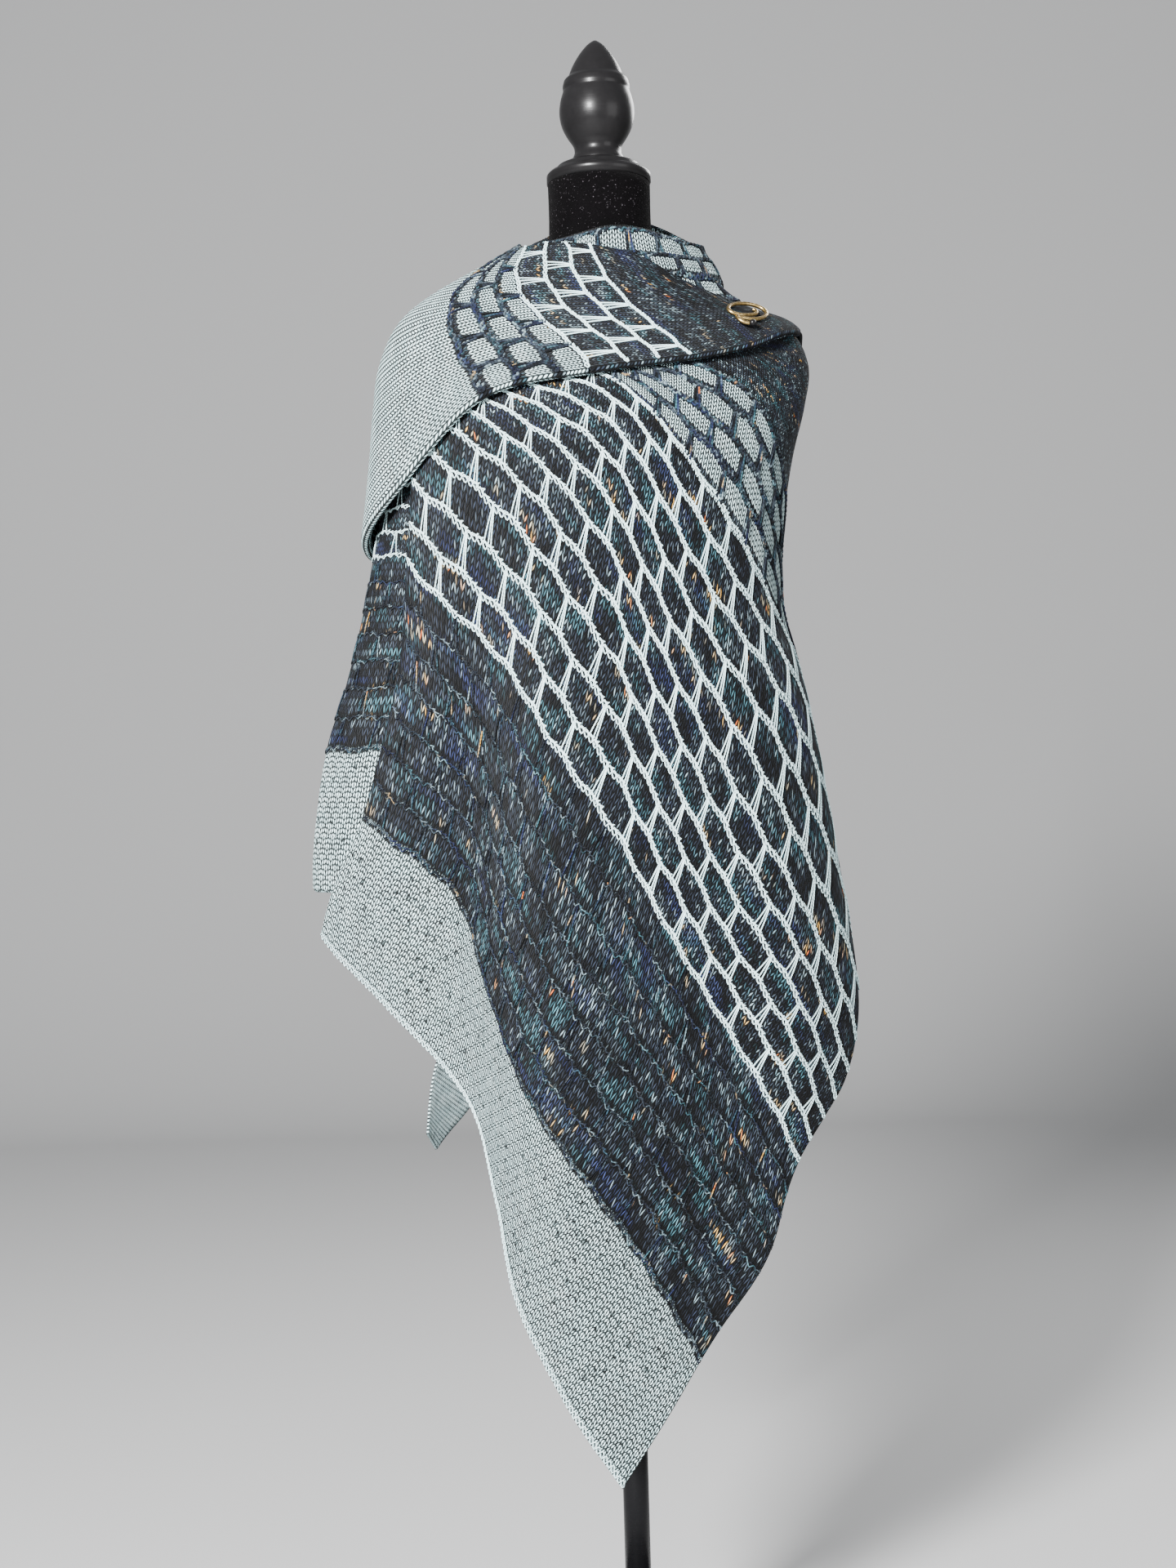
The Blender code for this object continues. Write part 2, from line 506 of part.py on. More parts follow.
def turned(name, profile, base, finish, collection):
    """A turned solid: a profile of (radius, height), listed from the foot up, spun about the pole's axis."""
    outline = [(0.0, profile[-1][1])] + list(profile)[::-1] + [(0.0, profile[0][1])]
    mesh = bpy.data.meshes.new(name)
    corners = [(radius, 0, base + height) for radius, height in outline]
    mesh.from_pydata(corners, [(k, k + 1) for k in range(len(corners) - 1)], [])
    made = add_object(name, mesh, finish, collection)
    spin = made.modifiers.new("spin", "SCREW")
    spin.steps = spin.render_steps = TURNED_SIDES
    spin.use_merge_vertices = True
    spin.merge_threshold = 0.0001
    spin.use_smooth_shade = True
    return made


def pole(finish, collection):
    """The straight pole between the foot's socket and the form's underside."""
    length = FORM_FOOT - FOOT_HEIGHT - 2 * FIT_GAP
    mesh = bpy.data.meshes.new("pole")
    made = bmesh.new()
    ends = {"radius1": POLE_RADIUS, "radius2": POLE_RADIUS, "depth": length}
    bmesh.ops.create_cone(made, cap_ends=True, segments=TURNED_SIDES, **ends)
    made.to_mesh(mesh)
    made.free()
    mesh.shade_smooth()
    mesh.set_sharp_from_angle(angle=math.radians(40))
    rod = add_object("pole", mesh, finish, collection)
    rod.location.z = FOOT_HEIGHT + FIT_GAP + length / 2
    return rod


def pin_frame():
    """Where the pin lies: its middle, its long direction, its cross direction and the way out."""
    lift = float(wrap_lift_at_pin())
    middle = draped(np.array(PIN_THETA), np.array(PIN_H), np.array(lift))
    n = cape_normal(np.array(PIN_THETA), np.array(PIN_H))
    along = draped(np.array(PIN_THETA + 4.0), np.array(PIN_H), np.array(lift)) - middle
    along -= n * float(np.dot(along, n))
    along /= np.linalg.norm(along)
    return middle, along, np.cross(n, along), n


def wrap_lift_at_pin():
    """The lift of the wrap's middle line where the pin lies."""
    station = np.interp(PIN_THETA, WRAP_STATIONS[:, 4], WRAP_STATIONS[:, 0])
    return smooth_curve(WRAP_STATIONS[:, 0], WRAP_STATIONS[:, 6], station)


def wire(name, points, radius, finish, collection):
    """A round wire along points, with filled ends."""
    curve = bpy.data.curves.new(name, "CURVE")
    curve.dimensions = "3D"
    curve.bevel_depth = radius
    curve.bevel_resolution = 1
    curve.use_fill_caps = True
    spline = curve.splines.new("POLY")
    spline.points.add(len(points) - 1)
    for knot, place in zip(spline.points, points):
        knot.co = (*place, 1)
    spline.use_smooth = True
    curve.materials.append(finish)
    made = bpy.data.objects.new(name, curve)
    collection.objects.link(made)
    return made


def shawl_pin(finish, stud_finish, collection):
    """An open brass scroll: a stem that rises into an oval loop, which curls in on itself, and a round stud."""
    middle, along, across, out = pin_frame()
    height = WALL / 2 + PIN_WIRE + FIT_GAP
    stem = [(-0.66, -1.42), (-0.84, -1.28), (-0.93, -1.02), (-0.94, -0.78)]
    turn = np.radians(np.linspace(-150, 385, 32))
    shrink = 1 - 0.52 * ease((np.degrees(turn) - 150) / 110)
    flat = stem + [(math.cos(t) * k, math.sin(t) * k) for t, k in zip(turn, shrink)]
    points = [middle + out * height + along * (u * PIN_LENGTH / 2) + across * (v * PIN_WIDTH / 2) for u, v in flat]
    wire("shawl_pin", points, PIN_WIRE, finish, collection)
    away = (points[0] - points[1]) / np.linalg.norm(points[0] - points[1])
    mesh = bpy.data.meshes.new("pin_stud")
    made = bmesh.new()
    bmesh.ops.create_uvsphere(made, u_segments=12, v_segments=8, radius=STUD_RADIUS)
    made.to_mesh(mesh)
    made.free()
    mesh.shade_smooth()
    stud = add_object("pin_stud", mesh, stud_finish, collection)
    stud.location = points[0] + away * (STUD_RADIUS + FIT_GAP) + out * (STUD_RADIUS - PIN_WIRE)


def main():
    for old in list(bpy.data.objects):
        bpy.data.objects.remove(old)
    parts = bpy.data.collections.new("shawl_on_dress_form")
    bpy.context.scene.collection.children.link(parts)
    knit = material("knit_blue", (0.20, 0.27, 0.31))
    pale = material("knit_pale", (0.62, 0.72, 0.72))
    velvet = material("velvet_black", (0.012, 0.010, 0.012), 0.95)
    lacquer = material("black_lacquer", (0.012, 0.011, 0.012), 0.32)
    brass = material("old_brass", (0.48, 0.34, 0.13), 0.38, 1.0)
    front_fall(knit, parts)
    back_fall(knit, parts)
    wraps(pale, knit, parts)
    neck_collar(knit, parts)
    back_tail(pale, parts)
    dress_form(velvet, parts)
    turned("neck_cap", CAP_PROFILE, NECK_TOP + FIT_GAP, lacquer, parts)
    turned("finial", FINIAL_PROFILE, NECK_TOP + FIT_GAP, lacquer, parts)
    pole(lacquer, parts)
    foot = ((FOOT_RADIUS - 0.002, 0.0), (FOOT_RADIUS, 0.003), (FOOT_RADIUS, 0.008), (FOOT_RADIUS - 0.006, 0.012),
            (0.060, 0.018), (0.026, 0.021), (0.024, FOOT_HEIGHT))
    turned("stand_foot", foot, 0.0, lacquer, parts)
    shawl_pin(brass, lacquer, parts)


main()
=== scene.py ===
"""The looks of a knitted wrap shawl worn on a limbless dress form, with its pole, round foot, finial and pin.

Metres, +Z up, +X to the wearer's left, the front faces -Y. Each stretch of cloth has its own coordinates:
u runs along the knitted rows and v across them. A place on the form is an angle theta (0 at the front,
90 at the wearer's left) and a height h on one draped surface, the cape.
"""

import math

import bpy
import numpy as np
from mathutils import Matrix, Vector


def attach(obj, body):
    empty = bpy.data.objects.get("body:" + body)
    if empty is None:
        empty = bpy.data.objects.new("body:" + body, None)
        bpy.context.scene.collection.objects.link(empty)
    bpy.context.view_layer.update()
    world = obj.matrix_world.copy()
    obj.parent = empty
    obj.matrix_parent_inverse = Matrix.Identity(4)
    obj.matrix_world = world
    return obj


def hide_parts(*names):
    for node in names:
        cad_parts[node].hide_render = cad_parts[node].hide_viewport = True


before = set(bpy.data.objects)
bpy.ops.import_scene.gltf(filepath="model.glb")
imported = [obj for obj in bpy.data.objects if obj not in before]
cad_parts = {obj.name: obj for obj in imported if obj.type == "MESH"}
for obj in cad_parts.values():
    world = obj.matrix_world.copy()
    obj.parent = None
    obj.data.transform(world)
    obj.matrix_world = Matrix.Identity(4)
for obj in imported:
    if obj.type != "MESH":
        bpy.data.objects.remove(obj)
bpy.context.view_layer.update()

# Cloth, metres: the wall, the lifts of its layers and the rolls at its edges, as the frame has them
WALL = 0.0028
RIDGE_RISE = 0.0016
LAYER_GAP = 0.0009
ROLL = 0.0030
LAYER = WALL + RIDGE_RISE + LAYER_GAP
SHOULDER_EASE = 0.0054
TAIL_EASE = 0.0012
COLLAR_EASE = 0.0010
COLLAR_ROLL = 0.0034
SEAM_GAP = 0.0016
TUCK = 0.010
HEM_TUCK = 0.006
COLLAR_TUCK = 0.012

# Knitting, metres: the gauge, the yarn, and how far the slipped stitches draw two ridges together
STITCH = 0.0070
ROW = 0.0044
YARN_RADIUS = 0.00082
CELL_STITCHES = 8
CELL_LENGTH = CELL_STITCHES * STITCH
DRAW_IN = 0.0014
PUFF = 0.0007
RIDGE_BED = 0.0003
RIDGE_HEIGHT, LINK_HEIGHT = 0.0021, 0.0021
CORE_SWAY, CORE_SWELL, CORE_SKEW = 0.0025, 0.0005, 0.5
LOOP_REACH = 0.0027
LINK_RADIUS = 0.00078
LINK_SPREAD, BRICK_SPREAD, COLLAR_SPREAD = 0.0050, 0.0046, 0.0038
LINK_STRAY = 0.0012
TRIO, PAIR = (-1, 0.15, 1), (-1, 1)
ROW_ENDS = (0.0005, 0.9995)
LOOP_FOOT, LOOP_DIP = 0.0008, 0.0003
LINK_RISE, LINK_DIP = 0.0005, 0.0003
LINK_OVERLAP = 0.04
# How dark each eyelet is painted, as shade in the colour
HOLE_PAINTED_SHADE = 0.88
STRONG_STRIP, STRONG_RADIUS, STRONG_REACH = 0.17, 0.00135, 0.0040
COARSE = 3
ROLL_STEPS = 9
TUCK_STEPS = 3

# Knitted bands across the shawl: how far each starts from the outer edge, and its rows of cells
RIDGED_ROWS, RIDGED_PITCH = 7, 0.030
MESH_ROWS, MESH_PITCH = 10, 0.028
BRICK_ROWS, BRICK_PITCH = 4, 0.028
HEM_RIDGE, HEM_CORD = -11, -10.9
RIDGED_START = 0.120
MESH_START = RIDGED_START + RIDGED_ROWS * RIDGED_PITCH
BRICK_START = MESH_START + MESH_ROWS * MESH_PITCH
PLAIN_START = BRICK_START + BRICK_ROWS * BRICK_PITCH
FRONT_TOP = 0.960
BACK_MESH_ROWS = 8
BACK_BRICK_START = MESH_START + BACK_MESH_ROWS * MESH_PITCH
BACK_TOP = BACK_BRICK_START + BRICK_ROWS * BRICK_PITCH
FRONT_CELLS, BACK_CELLS, TAIL_CELLS, COLLAR_CELLS = 14, 12, 3, 16
FRONT_LAST, BACK_LAST = MESH_ROWS + BRICK_ROWS, BACK_MESH_ROWS + BRICK_ROWS

# The draped surface: half widths and depths of each ring, and the ring's height at its four sides
CAPE_COLUMNS = ("h", "left", "right", "front", "back", "z_left", "z_right", "z_front", "z_back")
CAPE = np.array([
    (0.240, 0.200, 0.185, 0.146, 0.174, 0.240, 0.240, 0.240, 0.240),
    (0.400, 0.222, 0.200, 0.150, 0.176, 0.400, 0.400, 0.400, 0.400),
    (0.500, 0.240, 0.214, 0.154, 0.178, 0.500, 0.500, 0.500, 0.500),
    (0.600, 0.262, 0.223, 0.158, 0.180, 0.600, 0.600, 0.600, 0.600),
    (0.700, 0.282, 0.223, 0.161, 0.180, 0.700, 0.700, 0.700, 0.700),
    (0.760, 0.288, 0.216, 0.162, 0.178, 0.760, 0.760, 0.760, 0.760),
    (0.820, 0.291, 0.207, 0.161, 0.172, 0.820, 0.820, 0.820, 0.820),
    (0.880, 0.285, 0.198, 0.158, 0.163, 0.880, 0.880, 0.880, 0.880),
    (0.940, 0.274, 0.188, 0.154, 0.152, 0.940, 0.940, 0.940, 0.940),
    (1.000, 0.256, 0.176, 0.151, 0.140, 1.000, 1.000, 1.000, 1.000),
    (1.060, 0.242, 0.161, 0.149, 0.130, 1.060, 1.060, 1.060, 1.060),
    (1.120, 0.230, 0.160, 0.148, 0.126, 1.120, 1.120, 1.120, 1.120),
    (1.170, 0.220, 0.166, 0.146, 0.127, 1.170, 1.170, 1.170, 1.170),
    (1.220, 0.212, 0.175, 0.139, 0.128, 1.220, 1.220, 1.216, 1.220),
    (1.270, 0.206, 0.184, 0.128, 0.127, 1.270, 1.266, 1.257, 1.268),
    (1.310, 0.200, 0.187, 0.116, 0.123, 1.308, 1.303, 1.288, 1.304),
    (1.340, 0.186, 0.175, 0.104, 0.117, 1.340, 1.326, 1.312, 1.334),
    (1.370, 0.161, 0.144, 0.092, 0.107, 1.363, 1.338, 1.338, 1.367),
    (1.400, 0.121, 0.108, 0.080, 0.095, 1.387, 1.364, 1.364, 1.402),
    (1.430, 0.082, 0.097, 0.071, 0.082, 1.409, 1.387, 1.388, 1.436),
    (1.465, 0.060, 0.089, 0.063, 0.070, 1.430, 1.402, 1.408, 1.466),
    (1.495, 0.058, 0.081, 0.0585, 0.066, 1.448, 1.416, 1.436, 1.490),
])

# Soft folds, the large ones first: theta_top, h_top, theta_low, h_low, half_width, and rise, metres outwards
FOLDS = np.array([
    (-31, 1.24, -24, 0.86, 14, -0.0055),
    (-47, 1.12, -44, 0.58, 16, 0.0050),
    (-8, 1.12, -14, 0.40, 17, 0.0060),
    (24, 1.02, 20, 0.42, 15, -0.0060),
    (44, 1.08, 40, 0.50, 18, 0.0055),
    (-90, 1.12, -84, 0.78, 17, 0.0060),
    (-114, 1.16, -112, 0.76, 16, -0.0060),
    (-138, 1.22, -138, 0.78, 18, 0.0065),
    (-164, 1.22, -164, 0.76, 18, -0.0060),
    (-190, 1.22, -190, 0.78, 18, 0.0065),
    (-216, 1.20, -216, 0.70, 18, -0.0060),
])

# Front stretch: band lines over the cape, from the left fold to the shawl's short side edge. Each row is the
# distance across the cloth and seven pairs of theta and h.
FRONT_LINES = np.array([
    (0.0, -72, 0.762, -47, 0.688, -33, 0.612, -30, 0.520, -28, 0.424, -18, 0.340, -4, 0.256),
    (RIDGED_START, -53, 0.875, -32, 0.808, -26, 0.716, -20, 0.622, -9, 0.540, 4, 0.457, 18, 0.368),
    (0.225, -49, 0.989, -28.8, 0.917, -19.5, 0.822, -10.5, 0.730, 3, 0.640, 18, 0.551, 34.8, 0.456),
    (MESH_START, -52, 1.112, -25, 1.020, -11, 0.930, 1.5, 0.838, 14, 0.743, 28, 0.650, 43.5, 0.545),
    (0.470, -57, 1.285, -35, 1.250, -14, 1.185, 6, 1.075, 25, 0.942, 46, 0.800, 74, 0.650),
    (BRICK_START, -56, 1.316, -28, 1.316, 0, 1.292, 28, 1.185, 58, 1.090, 87, 1.000, 118, 0.910),
    (PLAIN_START, -55, 1.327, -19, 1.334, 17, 1.312, 45, 1.268, 72, 1.190, 103, 1.125, 138, 1.080),
    (FRONT_TOP, -54, 1.338, -17, 1.349, 21, 1.340, 53, 1.340, 82, 1.352, 112, 1.335, 150, 1.270),
])

# Back stretch, in the same columns: from under the front's left fold round the back to under its side edge
BACK_LINES = np.array([
    (0.0, -48, 0.806, -90, 0.806, -130, 0.792, -165, 0.796, -200, 0.806, -238, 0.826, -272, 0.860),
    (RIDGED_START, -47, 0.938, -90, 0.938, -130, 0.925, -165, 0.924, -200, 0.930, -238, 0.946, -272, 0.980),
    (MESH_START, -46, 1.118, -90, 1.124, -130, 1.116, -165, 1.110, -200, 1.108, -238, 1.112, -268, 1.130),
    (BACK_BRICK_START, -48, 1.300, -90, 1.290, -130, 1.285, -165, 1.290, -200, 1.290, -230, 1.285,
     -254, 1.275),
    (BACK_TOP, -50, 1.372, -88, 1.384, -126, 1.391, -162, 1.393, -195, 1.391, -220, 1.378, -240, 1.352),
])

# Upper wrap: stations from the back of the right shoulder, across the chest, to the pin on the left shoulder
WRAP_COLUMNS = ("along", "theta_low", "h_low", "lift_low", "theta_mid", "h_mid", "lift_mid",
                "theta_up", "h_up", "lift_up")
WRAP_STATIONS = np.array([
    (0.000, -152, 1.185, 0.0125, -150, 1.310, 0.014, -146, 1.415, 0.014),
    (0.110, -122, 1.130, 0.0120, -124, 1.300, 0.016, -126, 1.440, 0.013),
    (0.210, -94, 1.132, 0.0125, -99, 1.300, 0.018, -108, 1.448, 0.012),
    (0.330, -58, 1.180, 0.0231, -72, 1.310, 0.020, -94, 1.448, 0.011),
    (0.420, -33, 1.264, 0.0205, -47, 1.335, 0.021, -80, 1.442, 0.011),
    (0.530, -4, 1.294, 0.0180, -22, 1.362, 0.020, -60, 1.438, 0.012),
    (0.610, 12, 1.302, 0.0180, -4, 1.366, 0.020, -32, 1.458, 0.013),
    (0.690, 27, 1.308, 0.0180, 14, 1.366, 0.020, -2, 1.458, 0.014),
    (0.770, 44, 1.318, 0.0190, 37, 1.358, 0.020, 30, 1.420, 0.016),
    (0.840, 60, 1.330, 0.0195, 57, 1.350, 0.019, 54, 1.378, 0.018),
    (0.900, 78, 1.334, 0.0190, 79, 1.347, 0.018, 79, 1.362, 0.017),
])
WRAP_MESH, WRAP_SEAM, WRAP_PLAIN = 0.425, 0.530, 0.670
WRAP_CELLS, WRAP_CELL_STITCHES, WRAP_CELL_LENGTH = 5, 6, 0.040
SHOULDER_BAND, CHEST_BAND = (0, 3), (3, 6)

# Tail: the shawl's other end, from the pinned shoulder down across the back to its point
TAIL_COLUMNS = ("along", "theta_low", "h_low", "theta_up", "h_up")
TAIL_STATIONS = np.array([
    (0.00, 79, 1.334, 79, 1.362),
    (0.07, 97, 1.328, 99, 1.366),
    (0.16, 118, 1.290, 126, 1.373),
    (0.28, 137, 1.190, 156, 1.320),
    (0.40, 150, 1.070, 174, 1.190),
    (0.52, 162, 0.950, 188, 1.050),
    (0.64, 174, 0.835, 198, 0.920),
    (0.75, 186, 0.740, 206, 0.800),
    (0.86, 203, 0.640, 216, 0.680),
    (0.94, 217, 0.566, 226, 0.598),
    (1.00, 229, 0.528, 231, 0.545),
])
TAIL_LENGTH = 1.02
TAIL_START = 0.0018
TAIL_RIDGED = 0.26
TAIL_WIDTH = 0.19
TAIL_CELL_STITCHES = 11
UNDRAWN = (-9, -8)

# Neck collar: the turn of cloth that stands round the neck, and the height of its top edge
COLLAR_START, COLLAR_END = -62, 252
COLLAR_LOW = 1.386
COLLAR_TOP = {
    "theta": (-62, -32, -5, 60, 120, 180, 252),
    "h": (1.450, 1.471, 1.483, 1.485, 1.480, 1.466, 1.460),
}
COLLAR_CELL_ROWS = 3
COLLAR_CELL_STITCHES = 6
COLLAR_WIDTH = 0.082

# The collar's cut, metres: its length along the rows and its width, as knitted
COLLAR_CUT = (0.560, COLLAR_WIDTH)

# The form: half width, depths and heights of its rings
NECK_RADIUS, NECK_TOP = 0.050, 1.487
FORM_FOOT = 0.765
FORM_COLUMNS = ("half_width", "front", "back", "z_side", "z_front", "z_back")
FORM = np.array([
    (0.156, 0.098, 0.110, 0.765, 0.765, 0.765),
    (0.168, 0.106, 0.120, 0.800, 0.800, 0.800),
    (0.167, 0.109, 0.122, 0.860, 0.860, 0.860),
    (0.152, 0.106, 0.112, 0.920, 0.920, 0.920),
    (0.132, 0.100, 0.096, 0.980, 0.980, 0.980),
    (0.120, 0.096, 0.086, 1.035, 1.035, 1.035),
    (0.124, 0.102, 0.088, 1.080, 1.080, 1.080),
    (0.138, 0.118, 0.096, 1.130, 1.130, 1.130),
    (0.153, 0.128, 0.104, 1.175, 1.170, 1.172),
    (0.168, 0.123, 0.109, 1.210, 1.200, 1.206),
    (0.1804, 0.113, 0.112, 1.250, 1.225, 1.238),
    (0.181, 0.104, 0.110, 1.288, 1.248, 1.268),
    (0.170, 0.095, 0.105, 1.318, 1.272, 1.297),
    (0.142, 0.085, 0.097, 1.336, 1.298, 1.320),
    (0.106, 0.074, 0.086, 1.351, 1.324, 1.342),
    (0.080, 0.064, 0.072, 1.360, 1.348, 1.362),
    (0.062, 0.056, 0.060, 1.380, 1.372, 1.384),
    (0.053, 0.052, 0.053, 1.408, 1.404, 1.410),
    (NECK_RADIUS, NECK_RADIUS, NECK_RADIUS, 1.445, 1.445, 1.445),
    (NECK_RADIUS, NECK_RADIUS, NECK_RADIUS, NECK_TOP, NECK_TOP, NECK_TOP),
])

# Turned parts: radius, height over the neck's top and the rounding of each corner, from the foot upwards
FIT_GAP = 0.0003
CAP_PROFILE = (
    (0.0510, 0.000, 0.0006), (0.0510, 0.008, 0.0010), (0.0480, 0.011, 0.0008), (0.0430, 0.0125, 0.0008),
    (0.0400, 0.017, 0.0010), (0.0330, 0.020, 0.0006),
)
FINIAL_PROFILE = (
    (0.0260, 0.0203, 0.0004), (0.0255, 0.024, 0.002), (0.0225, 0.030, 0.004), (0.0235, 0.037, 0.005),
    (0.0300, 0.046, 0.008), (0.0350, 0.056, 0.010), (0.0372, 0.068, 0.012), (0.0360, 0.080, 0.010),
    (0.0325, 0.091, 0.0010), (0.0330, 0.095, 0.0016), (0.0315, 0.101, 0.0016), (0.0270, 0.105, 0.0015),
    (0.0235, 0.114, 0.007), (0.0165, 0.126, 0.009), (0.0080, 0.136, 0.005), (0.0020, 0.140, 0.001),
)
POLE_RADIUS = 0.0127
FOOT_RADIUS, FOOT_HEIGHT = 0.185, 0.024
FOOT_PROFILE = (
    (FOOT_RADIUS - 0.002, 0.0, 0.0005), (FOOT_RADIUS, 0.003, 0.0015), (FOOT_RADIUS, 0.008, 0.002),
    (FOOT_RADIUS - 0.006, 0.012, 0.003), (0.060, 0.018, 0.01), (0.026, 0.021, 0.001),
    (0.024, FOOT_HEIGHT, 0.0006),
)

# Brass pin on the left shoulder
PIN_THETA, PIN_H = 50, 1.349
PIN_LENGTH, PIN_WIDTH = 0.046, 0.027
PIN_WIRE = 0.0019
STUD_RADIUS = 0.0032
PIN_STEM = ((-0.66, -1.42), (-0.84, -1.28), (-0.93, -1.02), (-0.94, -0.78))
PIN_TURN = (-150, 385)

# View: the photograph's camera, with the image's upright leaning a little
CAMERA_PLACE = (-0.0273, -2.254, 0.90)
CAMERA_LENS = 52.83
CAMERA_SENSOR = 36.0
CAMERA_ROLL = math.radians(1.63)

# Studio: the floor's near edge, sides and colour, the bend and top of the wall behind it, and the room
FLOOR_NEAR, FLOOR_SIDE, FLOOR_COLOUR = -8.0, 9.0, (0.42, 0.42, 0.42, 1)
WALL_BEND_AT, WALL_BEND, WALL_TOP = 3.7, 1.2, 5.0
ROOM_COLOUR, ROOM_STRENGTH = (0.9, 0.92, 0.95, 1), 0.50
# Each light's name, place, target, size and power in watts
LIGHTS = (
    ("key", (-1.2, -2.9, 2.1), (0, 0, 0.9), 0.6, 640),
    ("fill", (2.4, -2.2, 1.5), (0, 0, 0.9), 1.8, 55),
    ("rim", (1.2, 1.8, 2.4), (0, 0, 1.1), 1.0, 55),
)

random = np.random.default_rng(7)


# Shape of the cloth

def smooth_curve(knots, values, at):
    """The smooth curve through the values at the knots: on each span a cubic whose ends have the mean slopes.

    Values may have one column for each column of at, and then each column is read by itself."""
    knots, values = np.asarray(knots, float), np.asarray(values, float)
    at = np.clip(at, knots[0], knots[-1])
    i = np.clip(np.searchsorted(knots, at, side="right") - 1, 0, len(knots) - 2)
    step = np.diff(knots)
    width = step if values.ndim == 1 else step[:, None]
    chord = np.diff(values, axis=0) / width
    slope = np.empty_like(values)
    slope[1:-1] = (chord[:-1] * width[1:] + chord[1:] * width[:-1]) / (width[:-1] + width[1:])
    slope[0], slope[-1] = chord[0], chord[-1]

    def pick(table, j):
        return table[j] if table.ndim == 1 else np.take_along_axis(table, j, 0)

    t = (at - knots[i]) / step[i]
    lean_in, lean_out = step[i] * pick(slope, i), step[i] * pick(slope, i + 1)
    return ((2 * t**3 - 3 * t**2 + 1) * pick(values, i) + (t**3 - 2 * t**2 + t) * lean_in
            + (3 * t**2 - 2 * t**3) * pick(values, i + 1) + (t**3 - t**2) * lean_out)


def ease(x):
    """0 below 0, 1 above 1, and the cubic S between."""
    x = np.clip(x, 0, 1)
    return x * x * (3 - 2 * x)


def plain_cape(theta, h):
    """The unfolded cape: an ellipse ring whose height sinks from front and back to the sides."""
    left, right, front, back, z_left, z_right, z_front, z_back = (
        smooth_curve(CAPE[:, 0], CAPE[:, k], h) for k in range(1, len(CAPE_COLUMNS)))
    s, c = np.sin(np.radians(theta)), np.cos(np.radians(theta))
    x = np.where(s > 0, right, left) * s
    y = -np.where(c > 0, front, back) * c
    z = np.where(s > 0, z_right, z_left) * s * s + np.where(c > 0, z_front, z_back) * c * c
    return np.stack([x, y, z], -1)


def unit(vectors):
    return vectors / np.linalg.norm(vectors, axis=-1, keepdims=True)


def cape_normal(theta, h):
    """The cape's outward direction: the cross product of its two tangents."""
    turn, climb = 0.4, 0.002
    round_it = plain_cape(theta + turn, h) - plain_cape(theta - turn, h)
    up_it = plain_cape(theta, h + climb) - plain_cape(theta, h - climb)
    return unit(np.cross(round_it, up_it))


def fold_height(theta, h):
    """How far the folds stand out: each is a cosine bump across, which swells from its top to its foot."""
    total = np.zeros(np.broadcast(theta, h).shape)
    for theta_top, h_top, theta_low, h_low, half_width, rise in FOLDS:
        down = (h_top - h) / (h_top - h_low)
        centre = theta_top + (theta_low - theta_top) * np.clip(down, 0, 1.3)
        away = (theta - centre + 180) % 360 - 180
        across = 0.5 + 0.5 * np.cos(np.pi * np.clip(away / half_width, -1, 1))
        total = total + rise * across * ease(down * 1.6)
    return total


def draped(theta, h, lift):
    """Points on the folded cape, moved out by lift."""
    theta, h, lift = (np.asarray(v, float) for v in np.broadcast_arrays(theta, h, lift))
    out = lift + fold_height(theta, h)
    return plain_cape(theta, h) + cape_normal(theta, h) * out[..., None]


def layer_lift(theta, h, level):
    """A layer's lift: even steps, eased up where the layers turn over the wearer's left shoulder."""
    turn = (0.15 + 0.85 * ease((h - 1.20) / 0.10)) * ease((theta - 55) / 30) * (1 - ease((theta - 175) / 25))
    return level * LAYER + min(level, 1) * SHOULDER_EASE * turn


def band_place(lines, share, v):
    """theta and h of cloth points: a share of each band line's length, then a smooth curve across."""
    knots, fine = np.linspace(0, 1, (lines.shape[1] - 1) // 2), np.linspace(0, 1, 241)
    shape, share, v = share.shape, share.ravel(), v.ravel()
    thetas, heights = [], []
    for row in lines:
        theta, h = smooth_curve(knots, row[1::2], fine), smooth_curve(knots, row[2::2], fine)
        steps = np.linalg.norm(np.diff(plain_cape(theta, h), axis=0), axis=1)
        length = np.concatenate([[0], np.cumsum(steps)]) / steps.sum()
        thetas.append(np.interp(share, length, theta))
        heights.append(np.interp(share, length, h))
    theta = smooth_curve(lines[:, 0], np.stack(thetas), v[None, :])[0]
    h = smooth_curve(lines[:, 0], np.stack(heights), v[None, :])[0]
    return theta.reshape(shape), h.reshape(shape)


def front_place(share, v):
    """The front stretch, one layer out, lifted more towards its left fold so that it can roll under."""
    theta, h = band_place(FRONT_LINES, share, v)
    return draped(theta, h, layer_lift(theta, h, 1) + 2 * ROLL * (1 - ease(share / 0.16)))


def back_place(share, v):
    """The back stretch, the innermost layer. Its share runs from under the front's side edge."""
    theta, h = band_place(BACK_LINES, 1 - share, v)
    return draped(theta, h, 0.0)


def wrap_place(share, along):
    """The upper wrap: a parabola through its low, middle and upper line at each place along it."""
    columns = [smooth_curve(WRAP_STATIONS[:, 0], WRAP_STATIONS[:, k], along)
               for k in range(1, len(WRAP_COLUMNS))]
    low, mid, up = (1 - share) * (1 - 2 * share), 4 * share * (1 - share), share * (2 * share - 1)
    theta, h, lift = (low * columns[k] + mid * columns[k + 3] + up * columns[k + 6] for k in range(3))
    return draped(theta, h, lift)


